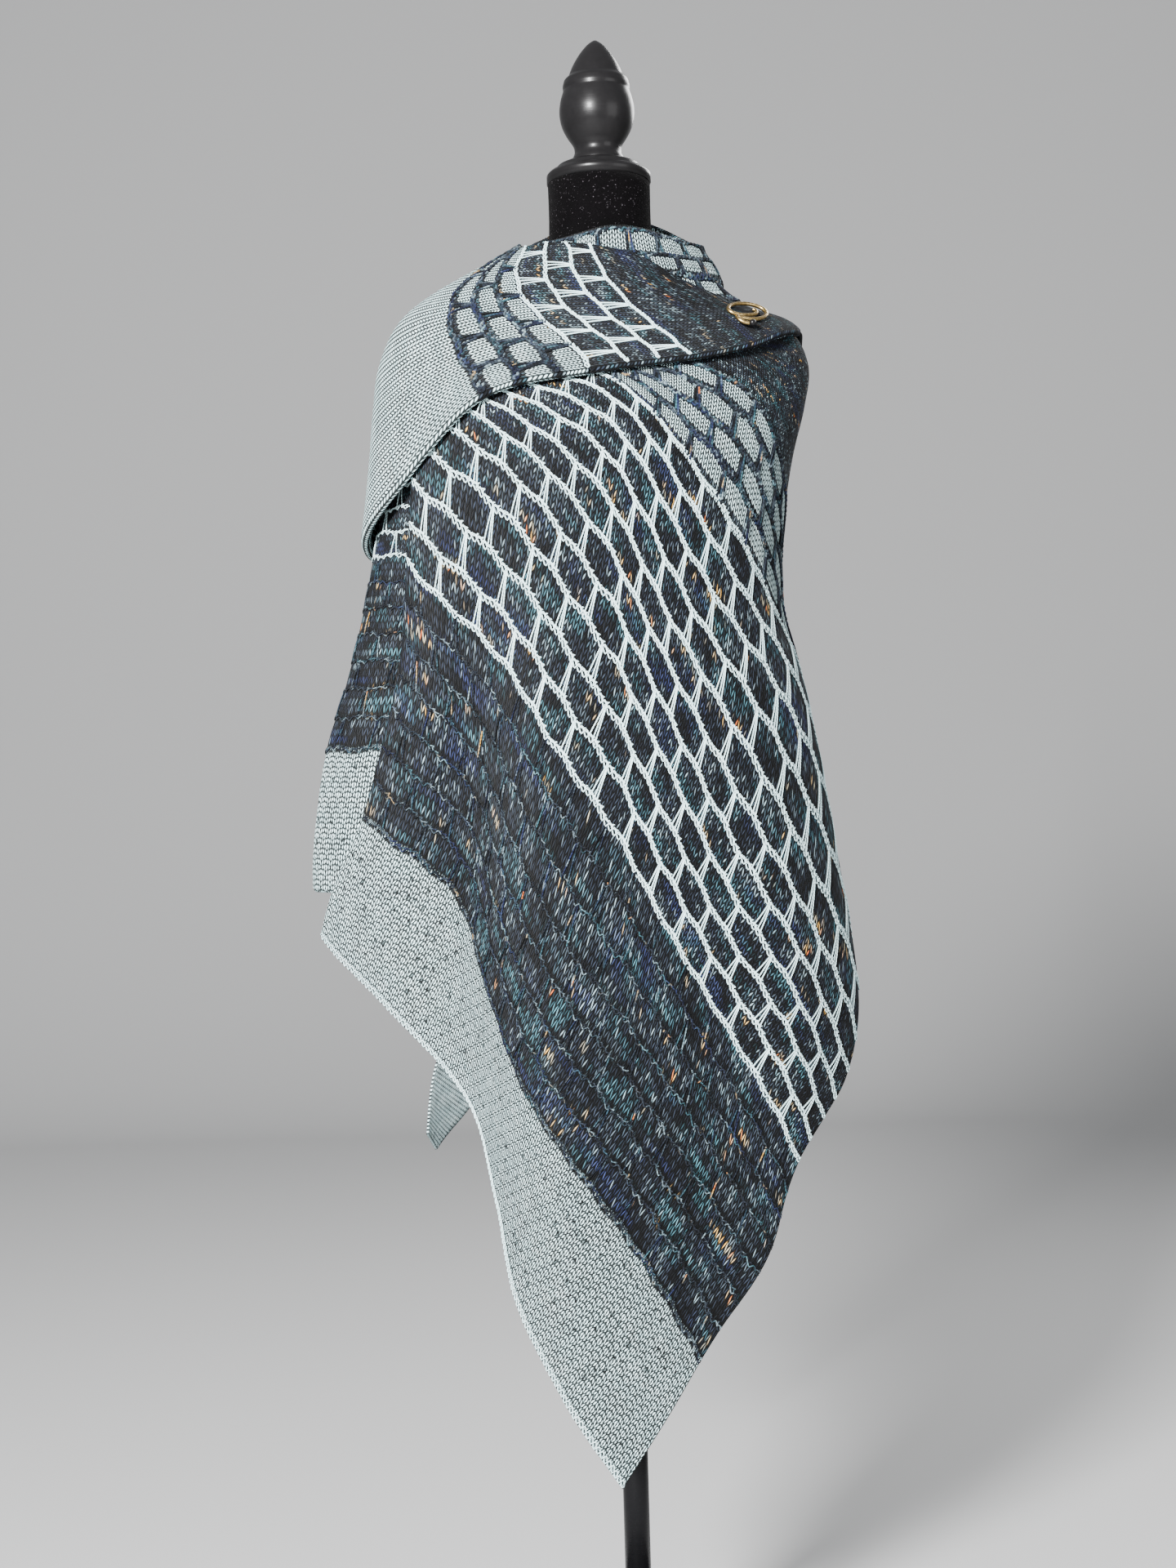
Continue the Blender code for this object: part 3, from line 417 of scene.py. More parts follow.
def tail_place(share, along):
    """The tail, two layers out: straight across from its low line to its upper one."""
    theta_low, h_low, theta_up, h_up = (
        smooth_curve(TAIL_STATIONS[:, 0], TAIL_STATIONS[:, k], along) for k in range(1, len(TAIL_COLUMNS)))
    theta = theta_low + (theta_up - theta_low) * share
    h = h_low + (h_up - h_low) * share
    return draped(theta, h, layer_lift(theta, h, 2) + TAIL_EASE * (1 - ease(along / 0.20)))


def collar_place(share, up):
    """The collar round the neck, laid over the tops of both falls, at a distance up from its foot."""
    theta = COLLAR_START + (COLLAR_END - COLLAR_START) * share
    top = smooth_curve(COLLAR_TOP["theta"], COLLAR_TOP["h"], theta)
    h = COLLAR_LOW + (top - COLLAR_LOW) * up / COLLAR_WIDTH
    lift = layer_lift(theta, h, 1) + LAYER * ease((theta - 25) / 60) * (1 - ease((theta - 160) / 14))
    return draped(theta, h, lift + COLLAR_EASE * ease((theta - 60) / 60))


def face_normals(grid):
    """Directions out of a grid of points: the cross product of its columns' and its rows' run."""
    return unit(np.cross(np.gradient(grid, axis=1), np.gradient(grid, axis=0)))


class Stretch:
    """A stretch of cloth, worked out once on a fine grid of (a, b) and read between its points.

    a runs along the rows and b across them, from (0, b_low) to (1, b_high)."""

    def __init__(self, place, b_low, b_high, a_count=320, b_count=420):
        self.b_low, self.b_high = b_low, b_high
        a, b = np.meshgrid(np.linspace(0, 1, a_count), np.linspace(b_low, b_high, b_count))
        self.points = place(a, b)
        self.out = face_normals(self.points)

    def read(self, a, b):
        """Points and outward directions at (a, b): the mean of the four grid points round it, by nearness."""
        rows, columns = self.points.shape[:2]
        x = np.clip(a, 0, 1) * (columns - 1)
        y = np.clip((b - self.b_low) / (self.b_high - self.b_low), 0, 1) * (rows - 1)
        i, j = np.minimum(y.astype(int), rows - 2), np.minimum(x.astype(int), columns - 2)
        p, q = (x - j)[..., None], (y - i)[..., None]

        def between(table):
            return ((table[i, j] * (1 - p) + table[i, j + 1] * p) * (1 - q)
                    + (table[i + 1, j] * (1 - p) + table[i + 1, j + 1] * p) * q)

        return between(self.points), unit(between(self.out))


def rolled_edge(grid, normals, radius, tuck):
    """Rows that carry a grid's first row on: a half turn of cloth, then a short return underneath."""
    n = normals[0]
    out = grid[0] - grid[1]
    out -= n * np.sum(out * n, -1, keepdims=True)
    out = unit(out)
    centre = grid[0] - n * radius
    angles = math.pi * np.arange(1, ROLL_STEPS + 1)[:, None, None] / ROLL_STEPS
    turn = centre + radius * (n * np.cos(angles) + out * np.sin(angles))
    back = turn[-1] - out * tuck * np.arange(1, TUCK_STEPS + 1)[:, None, None] / TUCK_STEPS
    return np.concatenate([turn, back])[::-1]


def roll_lengths(radius, tuck):
    """How far each row of a rolled edge lies from the edge, as the cloth runs."""
    turn = math.pi * radius * np.arange(1, ROLL_STEPS + 1) / ROLL_STEPS
    return np.concatenate([turn, turn[-1] + tuck * np.arange(1, TUCK_STEPS + 1) / TUCK_STEPS])[::-1]


# Meshes

def new_piece(name, points, faces, finish, maps=None):
    """A mesh object from points and faces. Each map gives every point its place in one UV layer."""
    mesh = bpy.data.meshes.new(name)
    mesh.from_pydata(np.asarray(points, float).reshape(-1, 3).tolist(), [], faces)
    corner = np.zeros(len(mesh.loops), int)
    mesh.loops.foreach_get("vertex_index", corner)
    for title, places in (maps or {}).items():
        layer = mesh.uv_layers.new(name=title)
        layer.data.foreach_set("uv", np.asarray(places, float).reshape(-1, 2)[corner].ravel())
    mesh.shade_smooth()
    mesh.materials.append(finish)
    made = bpy.data.objects.new(name, mesh)
    bpy.context.scene.collection.objects.link(made)
    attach(made, "root")
    return made


def cloth_wall(name, grid, rise, stitches, cells, finish):
    """A closed wall of cloth round a grid of middle points: a fine outer face and a coarser inner one.

    Each rim face has COARSE + 1 points of the outer edge and 2 of the inner one."""
    rows, columns = grid.shape[:2]
    n = face_normals(grid)
    outer = grid + n * (WALL / 2 + rise)[..., None]
    inner = (grid - n * WALL / 2)[::COARSE, ::COARSE]
    place = np.arange(rows * columns).reshape(rows, columns)
    under = rows * columns + np.arange(inner[..., 0].size).reshape(inner.shape[:2])

    def edge_loop(ids):
        return np.concatenate([ids[0, :-1], ids[:-1, -1], ids[-1, :0:-1], ids[:0:-1, 0]])

    front = np.stack([place[:-1, :-1], place[:-1, 1:], place[1:, 1:], place[1:, :-1]], -1).reshape(-1, 4)
    behind = np.stack([under[:-1, :-1], under[1:, :-1], under[1:, 1:], under[:-1, 1:]], -1).reshape(-1, 4)
    loop, under_loop = edge_loop(place), edge_loop(under)
    runs = [np.roll(loop, -k)[::COARSE] for k in range(COARSE, -1, -1)]
    rim = np.stack(runs + [under_loop, np.roll(under_loop, -1)], -1)
    points = np.concatenate([outer.reshape(-1, 3), inner.reshape(-1, 3)])
    maps = {title: np.concatenate([table.reshape(-1, 2), table[::COARSE, ::COARSE].reshape(-1, 2)])
            for title, table in (("stitches", stitches), ("cells", cells))}
    return new_piece(name, points, front.tolist() + behind.tolist() + rim.tolist(), finish, maps)


def yarns(name, paths, outs, radius, sides, finish):
    """Yarns of one length carried along paths: a ring of points round each path point, with closed ends.

    The map "yarn" holds the length along the yarn and the turn round it."""
    strands, steps = paths.shape[:2]
    ahead = unit(np.gradient(paths, axis=1))
    side = unit(np.cross(ahead, outs))
    up = np.cross(side, ahead)
    angle = np.arange(sides + 1) * 2 * np.pi / sides
    ring = (up[:, :, None] * np.cos(angle)[:, None] + side[:, :, None] * np.sin(angle)[:, None]) * radius
    points = (paths[:, :, None] + ring)[:, :, :sides]
    place = np.arange(strands * steps * sides).reshape(strands, steps, sides)
    around = np.roll(place, -1, axis=2)
    quads = np.stack([place[:, :-1], around[:, :-1], around[:, 1:], place[:, 1:]], -1).reshape(-1, 4)
    first, last = place[:, 0, ::-1], place[:, -1]
    steps_length = np.linalg.norm(np.diff(paths, axis=1), axis=-1)
    length = np.concatenate([np.zeros((strands, 1)), np.cumsum(steps_length, 1)], 1)
    length = length + np.arange(strands)[:, None] * 0.173
    turn = np.abs(np.arange(sides) / sides * 2 - 1)
    maps = {"yarn": np.stack(np.broadcast_arrays(length[:, :, None], turn), -1)}
    return new_piece(name, points, quads.tolist() + first.tolist() + last.tolist(), finish, maps)


# Knitted relief

def honeycomb(a, index, cells):
    """How far a ridge is drawn towards the next one by the slipped stitches: a wave along the ridge,
    turned over from one ridge to the next."""
    return np.cos(2 * np.pi * cells * a) * np.cos(np.pi * index)


def cell_relief(a, index, cells, low, high):
    """The soft swelling of each cell: a dome between its ridges and its links, none outside the bands."""
    between = np.sin(np.pi * (index - np.floor(index))) ** 0.8
    shift = np.where(np.floor(index) % 2 == 0, 0.0, 0.5)
    links = np.abs(np.sin(np.pi * (a * cells + shift))) ** 0.5
    inside = (index > low) & (index < high)
    return np.where(inside, RIDGE_BED + (PUFF - RIDGE_BED) * between * links, RIDGE_BED)


def ridge_paths(stretch, b, stitches, samples, drawn, loops, cords):
    """The paths of one ridge at b: the twined yarns of its core, or the loops on its upper side.

    Each core yarn is a leaning sine across and a cosine out, over two stitches. A loop is one minus the
    cosine, once for each stitch, pushed along the ridge as it reaches out."""
    share = np.linspace(0, stitches, stitches * samples + 1)
    a_low, a_high = ROW_ENDS
    a = a_low + (a_high - a_low) * share / stitches
    turn = 2 * np.pi * share
    stray = 0.00025 * np.sin(share * 2.1 + b * 90) + 0.0002 * np.sin(share * 0.83 + b * 41)
    middle = b + drawn(a, b) + stray
    if not loops:
        cores = []
        for phase in (0, np.pi)[:cords]:
            swing = turn / 2 + phase
            sway = CORE_SWAY * np.sin(swing + CORE_SKEW * np.sin(swing))
            points, out = stretch.read(a, middle + sway * (1 if cords > 1 else 0.8))
            cores.append((points + out * (RIDGE_HEIGHT + CORE_SWELL * np.cos(swing))[:, None], out))
        return cores
    reach = loops * (1 + 0.30 * np.sin(share * 1.7 + b * 57))
    swing = 0.5 - 0.5 * np.cos(turn)
    lean = (0.20 * np.sin(turn) + 0.60 * swing) * (a_high - a_low) / stitches
    points, out = stretch.read(a + lean, middle + LOOP_FOOT + reach * swing ** 0.8)
    return [(points + out * (RIDGE_HEIGHT - LOOP_DIP * swing)[:, None], out)]


def link_paths(stretch, a_at, b_low, b_high, spread, strands):
    """Slipped stitches from one ridge to the next, two or three at a time, parted at the foot."""
    t = np.linspace(-LINK_OVERLAP, 1 + LINK_OVERLAP, 7)
    paths, outs = [], []
    for side in strands:
        parted = spread * (0.20 + 0.80 * (1 - t)) * side
        a = a_at[:, None] + parted
        b = b_low[:, None] + (b_high - b_low)[:, None] * t
        points, out = stretch.read(a, b)
        lift = LINK_HEIGHT + LINK_RISE * np.sin(np.pi * np.clip(t, 0, 1)) - LINK_DIP * (1 - abs(side))
        paths.append(points + out * lift[:, None])
        outs.append(out)
    return np.concatenate(paths), np.concatenate(outs)


# Finishes

class Wire:
    """A socket in a material's node tree. Arithmetic on it adds Math nodes."""

    def __init__(self, tree, socket):
        self.tree, self.socket = tree, socket

    def node(self, kind, inputs=None, output=0, stops=None, **settings):
        """Adds a node of a kind: its settings first, then the values or links of its sockets."""
        made = self.tree.nodes.new(kind)
        for name, value in settings.items():
            setattr(made, name, value)
        if stops:
            ramp = made.color_ramp
            while len(ramp.elements) < len(stops):
                ramp.elements.new(0.5)
            for element, (place, colour) in zip(ramp.elements, stops):
                element.position, element.color = place, (*colour, 1)
        for place, value in (inputs or {}).items():
            if isinstance(value, Wire):
                self.tree.links.new(value.socket, made.inputs[place])
            else:
                made.inputs[place].default_value = value
        return Wire(self.tree, made.outputs[output])

    def math(self, operation, *values):
        return self.node("ShaderNodeMath", dict(enumerate(values)), operation=operation)

    def __add__(self, other):
        return self.math("ADD", self, other)

    def __sub__(self, other):
        return self.math("SUBTRACT", self, other)

    def __rsub__(self, other):
        return self.math("SUBTRACT", other, self)

    def __mul__(self, other):
        return self.math("MULTIPLY", self, other)

    def __truediv__(self, other):
        return self.math("DIVIDE", self, other)

    def __gt__(self, other):
        return self.math("GREATER_THAN", self, other)

    def __lt__(self, other):
        return self.math("LESS_THAN", self, other)

    def __abs__(self):
        return self.math("ABSOLUTE", self)

    __radd__, __rmul__ = __add__, __mul__

    def whole(self):
        return self.math("FLOOR", self)

    def part(self):
        return self.math("FRACT", self)

    def root(self):
        return self.math("SQRT", self)

    def clamped(self, low=0.0, high=1.0):
        return self.math("MINIMUM", self.math("MAXIMUM", self, low), high)

    def sine(self):
        return self.math("SINE", self)

    def mixed(self, low, high):
        """The colour low where this is 0 and high where it is 1."""
        low, high = ((*c, 1) if isinstance(c, tuple) else c for c in (low, high))
        return self.node("ShaderNodeMix", {0: self, 6: low, 7: high}, output=2, data_type="RGBA")

    def times(self, colour):
        """A colour scaled by this value."""
        white = self.node("ShaderNodeCombineColor", {0: self, 1: self, 2: self})
        return self.node("ShaderNodeMix", {0: 1.0, 6: colour, 7: white}, output=2,
                         data_type="RGBA", blend_type="MULTIPLY")

    def vector(self, y=0.0, z=0.0):
        return self.node("ShaderNodeCombineXYZ", {0: self, 1: y, 2: z})

    def noise(self, scale=1.0, detail=2.0, roughness=0.5, away=None):
        """Smooth noise read at this vector, or a fixed way from it."""
        at = self.node("ShaderNodeVectorMath", {0: self, 1: away}) if away else self
        return at.node("ShaderNodeTexNoise", {"Vector": at, "Scale": scale, "Detail": detail,
                                              "Roughness": roughness})

    def speck(self, colour=False):
        """White noise read at this vector: a number, or a colour."""
        return self.node("ShaderNodeTexWhiteNoise", {"Vector": self}, output=1 if colour else 0)

    def split(self, output):
        return self.node("ShaderNodeSeparateXYZ", {0: self}, output=output)


def new_finish(name, roughness, metallic=0.0, **constants):
    """A material with its Principled shader, and a wire to start expressions from."""
    made = bpy.data.materials.new(name)
    made.use_nodes = True
    shader = made.node_tree.nodes["Principled BSDF"]
    shader.inputs["Roughness"].default_value = roughness
    shader.inputs["Metallic"].default_value = metallic
    for title, value in constants.items():
        shader.inputs[title.replace("_", " ")].default_value = value
    return made, shader, Wire(made.node_tree, None)


def feed(shader, wire, title):
    wire.tree.links.new(wire.socket, shader.inputs[title])


def bump(height, distance, strength=1.0):
    return height.node("ShaderNodeBump", {"Height": height, "Distance": distance, "Strength": strength})


# The yarns' colours, and the values that all knitting shares
CHARCOAL = (0.004, 0.005, 0.007)
NAVY = (0.015, 0.020, 0.032)
SLATE = (0.048, 0.066, 0.082)
TEAL = (0.040, 0.122, 0.150)
MIST = (0.210, 0.290, 0.320)
INDIGO = (0.022, 0.030, 0.100)
CREAM = (0.480, 0.430, 0.300)
OCHRE = (0.420, 0.230, 0.050)
RUST = (0.360, 0.080, 0.020)
PALE = (0.780, 0.970, 0.985)
PALE_SHADE = (0.640, 0.880, 0.910)
WOOL = {"Sheen_Weight": 0.02, "Sheen_Roughness": 0.6, "Specular_IOR_Level": 0.10}
WOOL_ROUGHNESS = 0.92
LEG_SLOPE, MOSS_LEAN = 2.1, 3.3
PITCH_ROWS = RIDGED_PITCH / ROW
OWN_YARN, WITH_STRIP = 2, 3
PLY_LENGTH = 0.0032


def variegated(along, across, patch, chance):
    """The dark yarn's colour. Smooth noise along the yarn takes it from charcoal over navy to slate. Patches
    turn it teal or indigo, chance picks lighter stitches, and rare patches have cream or rust flecks."""
    tone = along.vector(across).noise(1.0, 3.0, 0.62)
    wash = patch.noise(1.1, 2.0, 0.55, (9.0, 2.0, 6.0))
    level = (tone * 0.66 + wash * 0.55 + chance * 0.14 - 0.195).clamped()
    yarn = level.node("ShaderNodeValToRGB", {0: level}, stops=((0.36, CHARCOAL), (0.48, NAVY), (0.64, SLATE)))
    teal = ((patch.noise(1.0, 3.0, 0.6) - 0.52) * 8).clamped() * ((chance * 1.5).clamped())
    blue = ((patch.noise(0.8, 2.0, 0.5, (17.0, 5.0, 2.0)) - 0.58) * 9).clamped() * 0.7
    yarn = blue.mixed(teal.mixed(yarn, TEAL), INDIGO)
    pallor = ((level * 1.2 + chance * 0.7 - 1.22) * 3.0).clamped()
    yarn = pallor.mixed(yarn, MIST)
    warm = ((patch.noise(1.6, 2.0, 0.5, (3.0, 41.0, 8.0)) - 0.640) * 14).clamped()
    light, orange, red = warm * (chance > 0.35), warm * (chance > 0.60), warm * (chance > 0.90)
    return red.mixed(orange.mixed(light.mixed(yarn, CREAM), OCHRE), RUST)


def pale_yarn(along, across):
    """The pale yarn's colour: a cool off-white with faint bluer stretches."""
    tone = along.vector(across).noise(0.7, 2.0)
    return ((tone - 0.4) * 3).clamped().mixed(PALE_SHADE, PALE)


def band_values(at, bands):
    """What the bands say at a ridge count, each 0 or 1: pale yarn, any ridges, ridges beside a strip of the
    other yarn, and ridges of the band's own yarn."""
    pale, before, on_ridge, on_strip, on_own = at * 0, 0, at * 0, at * 0, at * 0
    for k, (first, is_pale, ridged, _) in enumerate(bands):
        pale, before = pale + (at > first) * (is_pale - before), is_pale
        if ridged:
            last = bands[k + 1][0] if k + 1 < len(bands) else 99
            here = (at > first - 0.2) * (at < last + 0.2)
            on_ridge = on_ridge + here
            on_strip = on_strip + here * (ridged == WITH_STRIP)
            on_own = on_own + here * (ridged == OWN_YARN)
    return pale, on_ridge.clamped(), on_strip.clamped(), on_own.clamped()


def eyelets(su, sv, index, moss_below):
    """Small holes in the seed stitch: one in most places of a coarse grid, in groups, each off its middle."""
    hole_at, hole_v = su * 0.55 + (sv * 0.27).whole() * 0.37, sv * 0.27
    spot = hole_at.whole().vector(hole_v.whole())
    chance, jitter = spot.speck(), spot.speck(colour=True)
    hx = (hole_at.part() - 0.5 + (jitter.split(0) - 0.5) * 0.5) * 2.2
    hy = (hole_v.part() - 0.5 + (jitter.split(1) - 0.5) * 0.4) * 5.0
    in_group = spot.noise(0.23, 1.0) > 0.45
    open_here = (chance > 0.30) * in_group * (index < moss_below - 0.4) * (index > -10.6)
    return (hx * hx * 6.0 + hy * hy * 1.6 < jitter.split(2) * 0.9 + 0.25) * open_here


def knit(name, bands, strip=0.0, moss_below=None):
    """Knitted cloth. The map "stitches" counts stitches and rows, and "cells" counts cells and ridges.

    A leg of a stitch is a sloped yarn: rows less its slope times the distance from the wale's middle gives
    the row that it belongs to and the place across it. In seed stitch every other stitch leans the other way.
    Shade is painted into its colour: in the gaps between legs and between wales, beside the ridges,
    in broad bands towards a band's own ridges, and in its eyelets. Where a band says so, a strip of
    the other yarn lies along both sides of each ridge, as wide as the given share of the pitch."""
    made, shader, start = new_finish(name, WOOL_ROUGHNESS, **WOOL)
    stitches = start.node("ShaderNodeUVMap", uv_map="stitches")
    cells = start.node("ShaderNodeUVMap", uv_map="cells")
    su, index = stitches.split(0), cells.split(1)
    row_share, before = index * 0, 0
    for first, _, _, share in bands:
        row_share, before = row_share + (index > first) * (share - before), share
    sv = stitches.split(1) * row_share
    away = abs(su.part() - 0.5)
    slope = LEG_SLOPE
    if moss_below is not None:
        parity = ((su.whole() + (sv * 0.5).whole()) * 0.5).part() * 2
        slope = LEG_SLOPE - (index < moss_below) * parity * MOSS_LEAN
    t = sv - away * slope
    row, d, e = t.whole(), t.part() * 2 - 1, away * 4 - 1
    across, along_leg = (1 - d * d).clamped().root(), (1 - e * e).clamped()
    wander = (su * 0.31).vector(sv * 0.31).noise(1.0, 2.0)
    height = across * (along_leg * 0.6 + 0.4) * (wander * 0.30 + 0.85)
    bright = (su * 2).whole().vector(row).speck()
    dark_yarn = variegated(su * 0.30, row * 1.37, (su * 0.10).vector(row * 0.27), bright)
    light_yarn = pale_yarn(su * 0.2, row * 0.9)
    at = index + (row + 0.5 - sv) / PITCH_ROWS
    beside = abs(at.part() - 0.5)
    pale, on_ridge, on_strip, on_own = band_values(at, bands)
    pale = (pale + (beside > 0.5 - strip) * on_strip * (1 - pale * 2)).clamped()
    yarn = pale.mixed(dark_yarn, light_yarn)
    # Painted shade: the colour darkens in the gaps between the legs and rows, where the yarn's height is low.
    painted_gap_shade = ((height - 0.66) * 3.6).clamped() * 0.97 + 0.03
    # Painted shade along the lines between the wales.
    between = ((abs(away - 0.25) - 0.15) * 9).clamped()
    dark_shade = painted_gap_shade * (bright * 1.3 + 0.5)
    pale_shade = painted_gap_shade * (1 - between * 0.60) * (bright * 0.30 + 0.95)
    shade = pale * pale_shade + (1 - pale) * dark_shade
    # Painted shade beside the ridges, where the yarns that lie on the cloth would shade it.
    shade = shade * (1 - ((beside - 0.36) * 8).clamped() * on_ridge * 0.80)
    # Broad painted shade across each cell towards a band's own ridges, for the swell between them; elsewhere
    # the factor is 1.
    shade = shade * (1.25 - beside * beside * on_own * 2.6 - (1 - on_own) * 0.25)
    if moss_below is not None:
        hole = eyelets(su, sv, index, moss_below)
        # Painted shade: each eyelet is a dark spot in the colour and a dip in the bump, not a hole in the
        # wall.
        shade = shade * (1 - hole * HOLE_PAINTED_SHADE)
        height = height * (1 - hole)
    feed(shader, shade.times(yarn), "Base Color")
    soft = (su * 0.09).vector(sv * 0.056).noise(1.0, 2.0)
    feed(shader, bump(height + soft * 0.4, 0.0030), "Normal")
    return made


def spun(name, pale):
    """A yarn. The map "yarn" has the length along it and the turn round it: its plies are a slanted wave."""
    made, shader, start = new_finish(name, WOOL_ROUGHNESS, **WOOL)
    place = start.node("ShaderNodeUVMap", uv_map="yarn")
    along, turn = place.split(0), place.split(1)
    # The plies' wave sets the bump, and it also darkens the colour in the grooves between the plies: painted
    # shade.
    ply = ((along * (2 * math.pi / PLY_LENGTH) + turn * math.pi).sine() * 0.5 + 0.5)
    # Painted light and shade round the yarn: lighter on its outward top, darker at its sides and underneath.
    top = ((turn - 0.56) * 2.8).clamped()
    if pale:
        colour = ((ply * 0.22 + 0.78) * (top * 0.84 + 0.16)).times(pale_yarn(along * 35, turn * 0.2))
    else:
        bright = (along * 150).whole().vector(3.0).speck()
        shade = (ply * 0.5 + 0.5) * (bright * 0.8 + 0.4) * (top * 0.8 + 0.2)
        colour = shade.times(variegated(along * 62, turn * 0.3, (along * 14).vector(turn * 0.1), bright))
    feed(shader, colour, "Base Color")
    feed(shader, bump(ply, 0.0004), "Normal")
    return made


# Stretches of the shawl. Marks are pairs of v and the ridge's number there.

FRONT_MARKS = ((0, HEM_RIDGE), (RIDGED_START, -RIDGED_ROWS), (MESH_START, 0), (BRICK_START, MESH_ROWS),
               (PLAIN_START, FRONT_LAST), (FRONT_TOP, 22.5))
BACK_MARKS = ((0, HEM_RIDGE), (RIDGED_START, -RIDGED_ROWS), (MESH_START, 0),
              (BACK_BRICK_START, BACK_MESH_ROWS), (BACK_TOP, BACK_LAST))
WRAP_MARKS = ((0, -12), (WRAP_MESH, 0), (WRAP_SEAM, 3), (WRAP_PLAIN, 6), (WRAP_STATIONS[-1, 0], 13))
TAIL_MARKS = ((0, 0), (TAIL_RIDGED, 7), (1.0, 30))
COLLAR_MARKS = ((0, 0), (COLLAR_WIDTH, COLLAR_CELL_ROWS))

# Bands: the ridge that each starts from, 1 for pale yarn, its ridges (1 the other yarn, 2 its own, 3 the
# other with a strip beside) and its row count
FRONT_BANDS = ((-99, 1, 0, 1), (-7, 0, 2, 0.58), (0, 0, 1, 0.84), (10, 1, 3, 1), (14, 0, 0, 1),
               (21.4, 1, 0, 1))
BACK_BANDS = ((-99, 1, 0, 1), (-7, 0, 2, 0.58), (0, 0, 1, 0.84), (8, 1, 3, 1))
SHOULDER_BANDS = ((-99, 1, 0, 1), (0, 1, 3, 1))
CHEST_BANDS = ((-99, 0, 1, 0.84), (6, 0, 0, 0.84))
TAIL_BANDS = ((-99, 0, 2, 0.7), (7, 1, 0, 1))
COLLAR_BANDS = ((-99, 1, 3, 1),)


def band_places(marks, steps):
    """Even places over each band in turn, with the given count of steps in each."""
    starts = [v for v, _ in marks]
    places = [np.linspace(starts[k], starts[k + 1], steps[k] + 1)[:-1] for k in range(len(steps))]
    return np.concatenate(places + [[starts[-1]]])


class Panel:
    """A stretch that is knitted: its ridge count, its cells in a row and the yarns laid on it.

    Band is the first and the last ridge that the slipped stitches draw together."""

    def __init__(self, stretch, marks, cells, band, cell_stitches=CELL_STITCHES, cell_length=CELL_LENGTH):
        self.stretch, self.cells, self.band = stretch, cells, band
        self.places, self.numbers = zip(*marks)
        self.stitches, self.length = cells * cell_stitches, cells * cell_length
        self.yarns = {}

    def index(self, v):
        """The ridge count at v, which runs evenly over each band."""
        return np.interp(v, self.places, self.numbers)

    def ridge_at(self, index):
        return float(np.interp(index, self.numbers, self.places))

    def drawn(self, a, v):
        """The ridge's shift, in metres, at (a, v): the honeycomb wave, fading out beyond the banded part."""
        index, (low, high) = self.index(v), self.band
        fade = np.clip(1 - (low - index) * 1.4, 0, 1) * np.clip(1 - (index - high) * 1.4, 0, 1)
        return DRAW_IN * honeycomb(a, index, self.cells) * fade

    def wall(self, name, columns, b_places, finish, edge,
             radius=ROLL, tuck=TUCK, pitch=RIDGED_PITCH, drawn=True):
        """The closed wall, with one rolled edge: "left" or "low" where a is 0, "hem" or "top" where b ends.

        Its tables are turned so that this edge comes first, and all but a low edge's are turned back. The
        maps run on over the roll by its length."""
        a, b = np.meshgrid(np.linspace(0, 1, columns + 1), b_places)
        grid, _ = self.stretch.read(a, b + self.drawn(a, b) if drawn else b)
        index = self.index(b)
        rise = cell_relief(a, index, self.cells, *self.band)

        def turned(table):
            if edge in ("left", "low"):
                return table.swapaxes(0, 1)
            return table[::-1] if edge == "top" else table

        grid, rise, a, b, index = (turned(table) for table in (grid, rise, a, b, index))
        facing = -1 if edge in ("left", "top") else 1
        a_step, b_step = {"left": (-1, 0), "low": (-1, 0), "hem": (0, -1), "top": (0, 1)}[edge]
        roll = rolled_edge(grid, face_normals(grid) * facing, radius, tuck)
        run = roll_lengths(radius, tuck)[:, None]
        a = np.concatenate([a[:1] + a_step * run / (self.stitches * STITCH), a])
        b = np.concatenate([b[:1] + b_step * run, b])
        index = np.concatenate([index[:1] + b_step * run / pitch, index])
        rise = np.concatenate([np.zeros(roll.shape[:2]), rise])
        tables = (np.concatenate([roll, grid]), rise, np.stack([a * self.stitches, b / ROW], -1),
                  np.stack([a * self.cells, index], -1))
        if edge != "low":
            tables = (turned(table) for table in tables)
        return cloth_wall(name, *tables, finish)

    def lay(self, name, paths, outs, radius, sides):
        self.yarns[name] = yarns(name, paths, outs, radius, sides, pale_spun if "pale" in name else dark_spun)

    def ridges(self, name, numbers, sides, samples, loops, cords, radius):
        """The cores of the ridges with the given numbers or, where loops has a reach, their loops."""
        found = []
        for number in numbers:
            v = self.ridge_at(number)
            found += ridge_paths(self.stretch, v, self.stitches, samples, self.drawn, loops, cords)
        paths, outs = zip(*found)
        self.lay(name, np.stack(paths), np.stack(outs), radius, sides)

    def links(self, name, numbers, sides, spread, strands, radius):
        """The slipped stitches that cross the rows of cells whose lower ridges are given."""
        at, low, high = [], [], []
        for number in numbers:
            odd = number % 2
            a = (np.arange(self.cells + 1 - odd) + 0.5 * odd) / self.cells
            a = a[(a > 0.004) & (a < 0.996)]
            v_low, v_high = self.ridge_at(number), self.ridge_at(number + 1)
            at.append(a)
            low.append(v_low + self.drawn(a, v_low))
            high.append(v_high + self.drawn(a, v_high))
        at, low, high = (np.concatenate(table) for table in (at, low, high))
        at = at + random.normal(0, LINK_STRAY, at.shape)
        self.lay(name, *link_paths(self.stretch, at, low, high, spread / self.length, strands), radius, sides)

    def lay_all(self, *rows):
        """Lays the yarns in the rows: slipped stitches where the name says links, and otherwise ridges."""
        for name, *values in rows:
            (self.links if "links" in name else self.ridges)(name, *values)


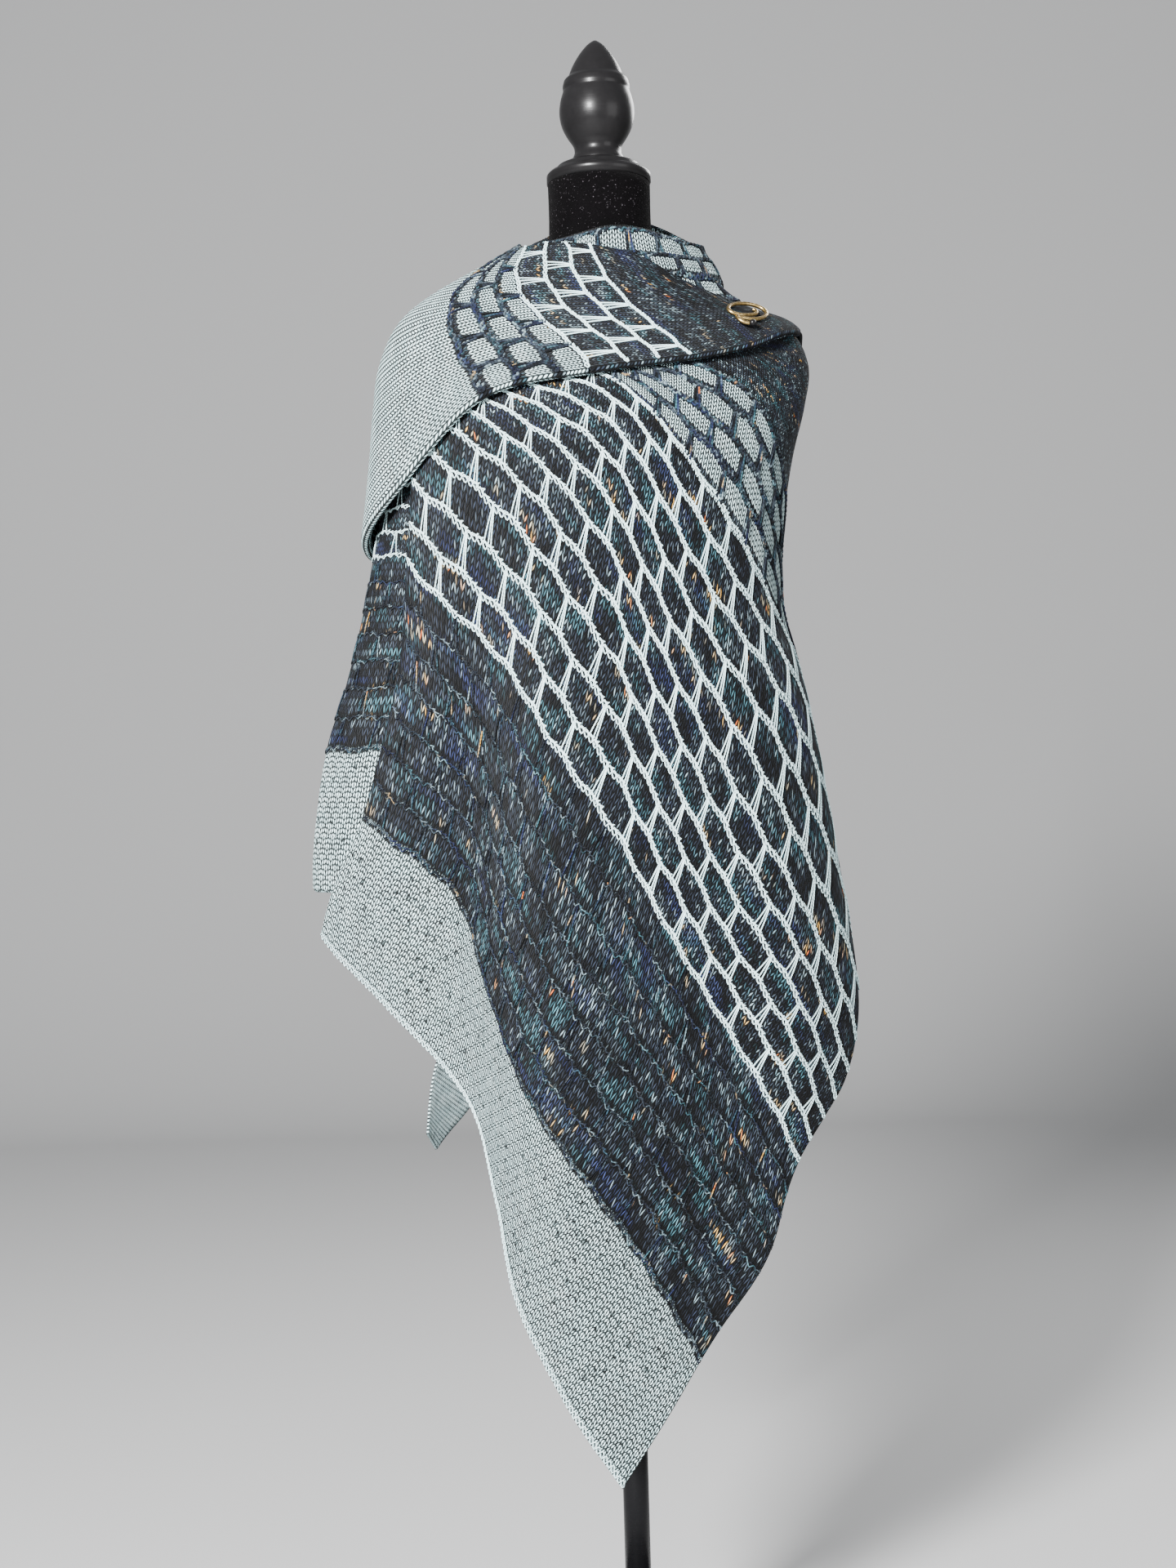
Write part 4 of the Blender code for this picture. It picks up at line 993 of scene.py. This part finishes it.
def tail_wall(finish):
    """The tail's wall, with plain edges. Its rows run down from the pinned shoulder."""
    b, a = np.meshgrid(np.linspace(TAIL_START, 1, 289), np.linspace(0, 1, 31))
    grid, _ = tail.stretch.read(a, b)
    return cloth_wall("tail_cloth", grid, np.full(a.shape, RIDGE_BED),
                      np.stack([a * TAIL_WIDTH / STITCH, b * TAIL_LENGTH / ROW], -1),
                      np.stack([a * TAIL_CELLS, tail.index(b)], -1), finish)


# Building

dark_spun, pale_spun = spun("dark yarn", False), spun("pale yarn", True)
front = Panel(Stretch(front_place, 0, FRONT_TOP, 420, 480), FRONT_MARKS, FRONT_CELLS,
              (-RIDGED_ROWS, FRONT_LAST))
back = Panel(Stretch(back_place, 0, BACK_TOP, 360, 360), BACK_MARKS, BACK_CELLS, (-RIDGED_ROWS, BACK_LAST))
wrap = Stretch(wrap_place, 0, WRAP_STATIONS[-1, 0], 120, 420)
wrap.out = -wrap.out
shoulder = Panel(wrap, WRAP_MARKS, WRAP_CELLS, SHOULDER_BAND, WRAP_CELL_STITCHES, WRAP_CELL_LENGTH)
chest = Panel(wrap, WRAP_MARKS, WRAP_CELLS, CHEST_BAND, WRAP_CELL_STITCHES, WRAP_CELL_LENGTH)
tail = Panel(Stretch(tail_place, TAIL_START, 1.0, 40, 400), TAIL_MARKS, TAIL_CELLS, UNDRAWN,
             TAIL_CELL_STITCHES)
collar = Panel(Stretch(collar_place, 0, COLLAR_WIDTH, 360, 60), COLLAR_MARKS, COLLAR_CELLS,
               (0, COLLAR_CELL_ROWS), COLLAR_CELL_STITCHES, COLLAR_CUT[0] / COLLAR_CELLS)

# A wall: name, columns of faces, places of rows, finish and rolled edge. Ridges of yarn: name, ridge numbers,
# sides, samples in a stitch, reach of the loops (0 for the cores), yarns in a core, radius. Slipped stitches:
# name, lower ridges, sides, spread at the foot, strands, radius.
GARTER, BACK_DARK = range(-RIDGED_ROWS, 0), (*range(-RIDGED_ROWS, 0), *range(9, 13))

front_fall = front.wall("front_cloth", 210, band_places(FRONT_MARKS, (33, 56, 80, 32, 66)),
                        knit("front knit", FRONT_BANDS, STRONG_STRIP, -RIDGED_ROWS), "left")
front.lay_all(
    ("front_pale_ridges", range(0, 11), 5, 4, 0, 2, YARN_RADIUS),
    ("front_pale_loops", range(0, 11), 5, 6, LOOP_REACH, 1, YARN_RADIUS),
    ("front_dark_ridges", GARTER, 4, 4, 0, 1, YARN_RADIUS),
    ("front_dark_loops", GARTER, 4, 5, LOOP_REACH, 1, YARN_RADIUS),
    ("front_pale_links", range(0, 10), 6, LINK_SPREAD, TRIO, LINK_RADIUS),
    ("front_brick_ridges", range(11, 15), 5, 4, 0, 2, STRONG_RADIUS),
    ("front_brick_loops", range(11, 15), 5, 4, STRONG_REACH, 1, STRONG_RADIUS),
    ("front_dark_links", GARTER, 5, LINK_SPREAD, PAIR, LINK_RADIUS),
    ("front_brick_links", range(10, 14), 6, BRICK_SPREAD, TRIO, STRONG_RADIUS),
    ("front_hem_pale_cord", (HEM_CORD,), 5, 4, 0, 2, YARN_RADIUS),
)
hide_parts("front_fall")

back_fall = back.wall("back_cloth", 168, band_places(BACK_MARKS, (31, 56, 64, 32)),
                      knit("back knit", BACK_BANDS, STRONG_STRIP, -RIDGED_ROWS), "hem", tuck=HEM_TUCK)
back.lay_all(
    ("back_pale_ridges", range(0, 9), 4, 3, 0, 1, YARN_RADIUS),
    ("back_pale_loops", range(0, 9), 4, 4, LOOP_REACH, 1, YARN_RADIUS),
    ("back_dark_ridges", BACK_DARK, 4, 3, 0, 1, YARN_RADIUS),
    ("back_dark_loops", BACK_DARK, 4, 3, LOOP_REACH, 1, YARN_RADIUS),
    ("back_pale_links", range(0, 8), 5, LINK_SPREAD, PAIR, LINK_RADIUS),
    ("back_dark_links", (*GARTER, *range(8, 12)), 4, LINK_SPREAD, PAIR, LINK_RADIUS),
)
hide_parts("back_fall")

shoulder_cloth = shoulder.wall("shoulder_cloth", 69, np.linspace(0, WRAP_SEAM - SEAM_GAP / 2, 145),
                               knit("shoulder knit", SHOULDER_BANDS, STRONG_STRIP), "low")
chest_cloth = chest.wall("chest_cloth", 69, np.linspace(WRAP_SEAM + SEAM_GAP / 2, WRAP_STATIONS[-1, 0], 103),
                         knit("chest knit", CHEST_BANDS), "low")
shoulder.lay_all(
    ("shoulder_dark_ridges", range(0, 3), 6, 5, 0, 2, STRONG_RADIUS),
    ("shoulder_dark_loops", range(0, 3), 5, 6, STRONG_REACH, 1, STRONG_RADIUS),
    ("shoulder_dark_links", range(0, 3), 6, LINK_SPREAD, TRIO, STRONG_RADIUS),
)
chest.lay_all(
    ("chest_pale_ridges", range(3, 7), 6, 5, 0, 2, YARN_RADIUS),
    ("chest_pale_loops", range(3, 7), 5, 6, LOOP_REACH, 1, YARN_RADIUS),
    ("chest_pale_links", range(3, 6), 6, LINK_SPREAD, TRIO, LINK_RADIUS),
)
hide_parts("shoulder_wrap")
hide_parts("chest_wrap")

tail_cloth = tail_wall(knit("tail knit", TAIL_BANDS))
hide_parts("back_tail")

collar_cloth = collar.wall("collar_cloth", 153, np.linspace(0, COLLAR_WIDTH, 19),
                           knit("collar knit", COLLAR_BANDS, STRONG_STRIP), "top", radius=COLLAR_ROLL,
                           tuck=COLLAR_TUCK, pitch=BRICK_PITCH, drawn=False)
collar.lay_all(
    ("collar_ridges", range(0, 4), 5, 4, 0, 2, STRONG_RADIUS),
    ("collar_loops", range(0, 3), 5, 5, STRONG_REACH, 1, STRONG_RADIUS),
    ("collar_links", range(0, 3), 6, COLLAR_SPREAD, TRIO, STRONG_RADIUS),
)
tail.lay_all(("tail_ridges", range(1, 8), 5, 4, 0, 2, YARN_RADIUS))
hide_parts("neck_collar")


# Form, stand and pin

def ring_stack(name, rings, finish):
    """A closed body through rings of points, with a middle point closing each end."""
    levels, sides = rings.shape[:2]
    place = np.arange(levels * sides).reshape(levels, sides)
    around = np.roll(place, -1, axis=1)
    quads = np.stack([place[:-1], around[:-1], around[1:], place[1:]], -1).reshape(-1, 4)
    foot, head = levels * sides, levels * sides + 1
    points = np.concatenate([rings.reshape(-1, 3), [rings[0].mean(0)], [rings[-1].mean(0)]])
    under = [(foot, b, a) for a, b in zip(place[0], around[0])]
    over = [(head, a, b) for a, b in zip(place[-1], around[-1])]
    return new_piece(name, points, quads.tolist() + under + over, finish)


def velvet():
    """Black pile with pale lint caught in it: tufts and lint by fine noise, with a faint sheen."""
    made, shader, start = new_finish("black velvet", 0.95, Sheen_Weight=0.01, Sheen_Roughness=0.4,
                                     Specular_IOR_Level=0.02)
    place = start.node("ShaderNodeTexCoord", output=3)
    tufts = place.noise(900.0, 3.0, 0.7)
    nap = place.noise(30.0, 2.0)
    lint = ((place.noise(520.0, 3.0, 0.7) - 0.64) * 9).clamped()
    shade = (tufts * 1.5 + 0.10) * (nap * 0.8 + 0.6) + lint * 55
    feed(shader, shade.times((0.0020, 0.0018, 0.0020, 1)), "Base Color")
    feed(shader, bump(tufts, 0.0008), "Normal")
    return made


def lacquer(name, colour, roughness, coat=0.0):
    """Black paint over turned wood: faint rings and dust change its gloss."""
    made, shader, start = new_finish(name, roughness, Coat_Roughness=0.15, Specular_IOR_Level=0.11)
    shader.inputs["Coat Weight"].default_value = coat
    place = start.node("ShaderNodeTexCoord", output=3)
    rings = (place.split(2) * 900).vector(place.noise(9.0, 2.0) * 4).noise(1.0, 3.0)
    dust = place.noise(160.0, 4.0, 0.7)
    feed(shader, (dust * 0.5 + 0.75).times((*colour, 1)), "Base Color")
    feed(shader, dust * 0.12 + rings * 0.08 + (roughness - 0.10), "Roughness")
    feed(shader, bump(rings + dust * 0.5, 0.00008), "Normal")
    return made


def brass():
    """Old brass: browner and duller in its hollows, by noise."""
    made, shader, start = new_finish("old brass", 0.34, 1.0)
    place = start.node("ShaderNodeTexCoord", output=3)
    worn = place.noise(420.0, 4.0, 0.65)
    feed(shader, ((worn - 0.35) * 3).clamped().mixed((0.20, 0.13, 0.05), (0.60, 0.44, 0.18)), "Base Color")
    feed(shader, 0.55 - worn * 0.4, "Roughness")
    feed(shader, bump(worn, 0.0001), "Normal")
    return made


def form_rings():
    """The form's rings: half ellipses front and back, whose height runs from the sides to front and back."""
    at = np.linspace(0, len(FORM) - 1, 115)
    half_width, front_depth, back_depth, z_side, z_front, z_back = (
        smooth_curve(np.arange(len(FORM)), FORM[:, k], at)[:, None] for k in range(len(FORM_COLUMNS)))
    theta = np.linspace(0, 2 * np.pi, 73)[None, :-1]
    s, c = np.sin(theta), np.cos(theta)
    return np.stack([half_width * s, -np.where(c > 0, front_depth, back_depth) * c,
                     z_side * s * s + np.where(c > 0, z_front, z_back) * c * c], -1)


form = ring_stack("velvet_form", form_rings(), velvet())
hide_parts("dress_form")


def rounded(profile, base, arc=6):
    """A profile with each corner replaced by a curve: the parabola between points a rounding away from it."""
    corner = np.array([(r, z + base) for r, z, _ in profile])
    soft = np.array([p[2] for p in profile])
    points = [corner[0]]
    for k in range(1, len(corner) - 1):
        back, ahead = corner[k - 1] - corner[k], corner[k + 1] - corner[k]
        reach_back = min(soft[k], 0.48 * np.linalg.norm(back))
        reach_ahead = min(soft[k], 0.48 * np.linalg.norm(ahead))
        start, end = corner[k] + unit(back) * reach_back, corner[k] + unit(ahead) * reach_ahead
        t = np.linspace(0, 1, arc)[:, None]
        points += list((1 - t)**2 * start + 2 * t * (1 - t) * corner[k] + t**2 * end)
    return np.array(points + [corner[-1]])


def turned(name, profile, base, finish, sides=72):
    """A turned piece: its rounded profile of radius and height, spun about the pole's axis."""
    outline = rounded(profile, base)
    angle = np.arange(sides) * 2 * np.pi / sides
    rings = np.stack([outline[:, :1] * np.cos(angle), outline[:, :1] * np.sin(angle),
                      outline[:, 1:] * np.ones(sides)], -1)
    return ring_stack(name, rings, finish)


satin = lacquer("satin black", (0.006, 0.0057, 0.006), 0.34, 0.06)
gloss = lacquer("gloss black", (0.004, 0.004, 0.0045), 0.26, 0.0)
base_black = lacquer("base black", (0.008, 0.008, 0.009), 0.42, 0.0)
cap = turned("turned_cap", CAP_PROFILE, NECK_TOP + FIT_GAP, satin, 96)
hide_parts("neck_cap")
knob = turned("turned_finial", FINIAL_PROFILE, NECK_TOP + FIT_GAP, satin, 72)
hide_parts("finial")
rod_profile = [(POLE_RADIUS, z, 0) for z in (FOOT_HEIGHT + FIT_GAP, 0.40, FORM_FOOT - FIT_GAP)]
rod = turned("round_pole", rod_profile, 0.0, gloss, 48)
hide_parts("pole")
foot = turned("round_foot", FOOT_PROFILE, 0.0, base_black, 128)
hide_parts("stand_foot")


# The pin: the frame's scroll, drawn finer

def pin_frame():
    """Where the pin lies: its middle, its long direction, its cross direction and the way out."""
    along, theta_mid, lift_mid = (WRAP_STATIONS[:, WRAP_COLUMNS.index(name)]
                                  for name in ("along", "theta_mid", "lift_mid"))
    lift = float(smooth_curve(along, lift_mid, np.interp(PIN_THETA, theta_mid, along)))
    middle = draped(np.array(PIN_THETA), np.array(PIN_H), np.array(lift))
    n = cape_normal(np.array(PIN_THETA), np.array(PIN_H))
    along = draped(np.array(PIN_THETA + 4.0), np.array(PIN_H), np.array(lift)) - middle
    along = unit(along - n * float(np.dot(along, n)))
    return middle, along, np.cross(n, along), n


def pin_pieces(wire_finish, stud_finish):
    """The scroll, a wire along a stem and one and a half shrinking turns, and the stud at its foot."""
    middle, along, across, out = pin_frame()
    turn = np.radians(np.linspace(*PIN_TURN, 32))
    shrink = 1 - 0.52 * ease((np.degrees(turn) - 150) / 110)
    flat = np.concatenate([PIN_STEM, np.stack([np.cos(turn) * shrink, np.sin(turn) * shrink], -1)])
    fine = np.linspace(0, len(flat) - 1, 220)
    smooth = np.stack([smooth_curve(np.arange(len(flat)), flat[:, k], fine) for k in range(2)], -1)

    def lying(flat_points):
        return (middle + out * (WALL / 2 + PIN_WIRE + FIT_GAP) + flat_points[:, :1] * along * PIN_LENGTH / 2
                + flat_points[:, 1:] * across * PIN_WIDTH / 2)

    path = lying(smooth)[None]
    wire = yarns("brass_scroll", path, np.broadcast_to(out, path.shape), PIN_WIRE, 12, wire_finish)
    first, second = lying(flat[:2])
    stud_at = first + unit(first - second) * (STUD_RADIUS + FIT_GAP) + out * (STUD_RADIUS - PIN_WIRE)
    polar = np.linspace(0.02, np.pi - 0.02, 24)[::-1, None]
    spin = np.arange(32)[None, :] * 2 * np.pi / 32
    ball = np.stack([np.sin(polar) * np.cos(spin), np.sin(polar) * np.sin(spin),
                     np.cos(polar) * np.ones_like(spin)], -1)
    return wire, ring_stack("pin_ball", stud_at + ball * STUD_RADIUS, stud_finish)


pin, stud = pin_pieces(brass(), satin)
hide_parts("shawl_pin")
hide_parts("pin_stud")


# Each piece's colour slot

slots = [(piece, "knit_pale" if "pale" in name else "knit_mixed")
         for panel in (front, back, shoulder, chest, collar, tail) for name, piece in panel.yarns.items()]
slots += [(front_fall, "knit_mixed"), (back_fall, "knit_mixed"), (shoulder_cloth, "knit_pale"),
          (chest_cloth, "knit_mixed"), (tail_cloth, "knit_pale"), (collar_cloth, "knit_mixed"),
          (form, "velvet"), (cap, "satin_black"), (knob, "satin_black"), (rod, "gloss_black"),
          (foot, "base_black"), (pin, "brass"), (stud, "stud_dark")]


# Camera, floor and light

def photo_camera():
    """The camera at the photograph's place, level and a little rolled."""
    data = bpy.data.cameras.new("camera")
    data.sensor_fit = "VERTICAL"
    data.sensor_height = CAMERA_SENSOR
    data.lens = CAMERA_LENS
    made = bpy.data.objects.new("camera", data)
    made.matrix_world = (Matrix.Translation(CAMERA_PLACE) @ Matrix.Rotation(math.radians(90), 4, "X")
                         @ Matrix.Rotation(-CAMERA_ROLL, 4, "Z"))
    bpy.context.scene.collection.objects.link(made)
    bpy.context.scene.camera = made


def plain_floor():
    """A pale floor that curves up behind into a wall: a straight run, a quarter turn, a straight rise."""
    angle = np.linspace(0, np.pi / 2, 24)
    curve = np.stack([WALL_BEND_AT + WALL_BEND * np.sin(angle), WALL_BEND * (1 - np.cos(angle))], -1)
    run = np.concatenate([[(FLOOR_NEAR, 0.0)], curve, [(WALL_BEND_AT + WALL_BEND, WALL_TOP)]])
    points = np.array([[(x, y, z) for x in (-FLOOR_SIDE, FLOOR_SIDE)] for y, z in run])
    place = np.arange(len(run) * 2).reshape(-1, 2)
    quads = np.stack([place[:-1, 0], place[:-1, 1], place[1:, 1], place[1:, 0]], -1)
    mesh = bpy.data.meshes.new("floor")
    mesh.from_pydata(points.reshape(-1, 3).tolist(), [], quads.tolist())
    mesh.shade_smooth()
    pale = bpy.data.materials.new("pale floor")
    pale.use_nodes = True
    shader = pale.node_tree.nodes["Principled BSDF"]
    shader.inputs["Base Color"].default_value = FLOOR_COLOUR
    shader.inputs["Roughness"].default_value = 0.9
    mesh.materials.append(pale)
    made = bpy.data.objects.new("floor", mesh)
    bpy.context.scene.collection.objects.link(made)


def soft_light(name, place, target, size, power):
    """A square area light that faces its target."""
    data = bpy.data.lights.new(name, "AREA")
    data.size, data.energy = size, power
    made = bpy.data.objects.new(name, data)
    place, target = Vector(place), Vector(target)
    facing = (target - place).to_track_quat("-Z", "Y").to_matrix().to_4x4()
    made.matrix_world = Matrix.Translation(place) @ facing
    bpy.context.scene.collection.objects.link(made)


def soft_room():
    """Even light from all round."""
    world = bpy.data.worlds.new("soft room")
    world.use_nodes = True
    background = world.node_tree.nodes["Background"]
    background.inputs[0].default_value = ROOM_COLOUR
    background.inputs[1].default_value = ROOM_STRENGTH
    bpy.context.scene.world = world


photo_camera()
plain_floor()
for light in LIGHTS:
    soft_light(*light)
soft_room()

bpy.context.view_layer.update()
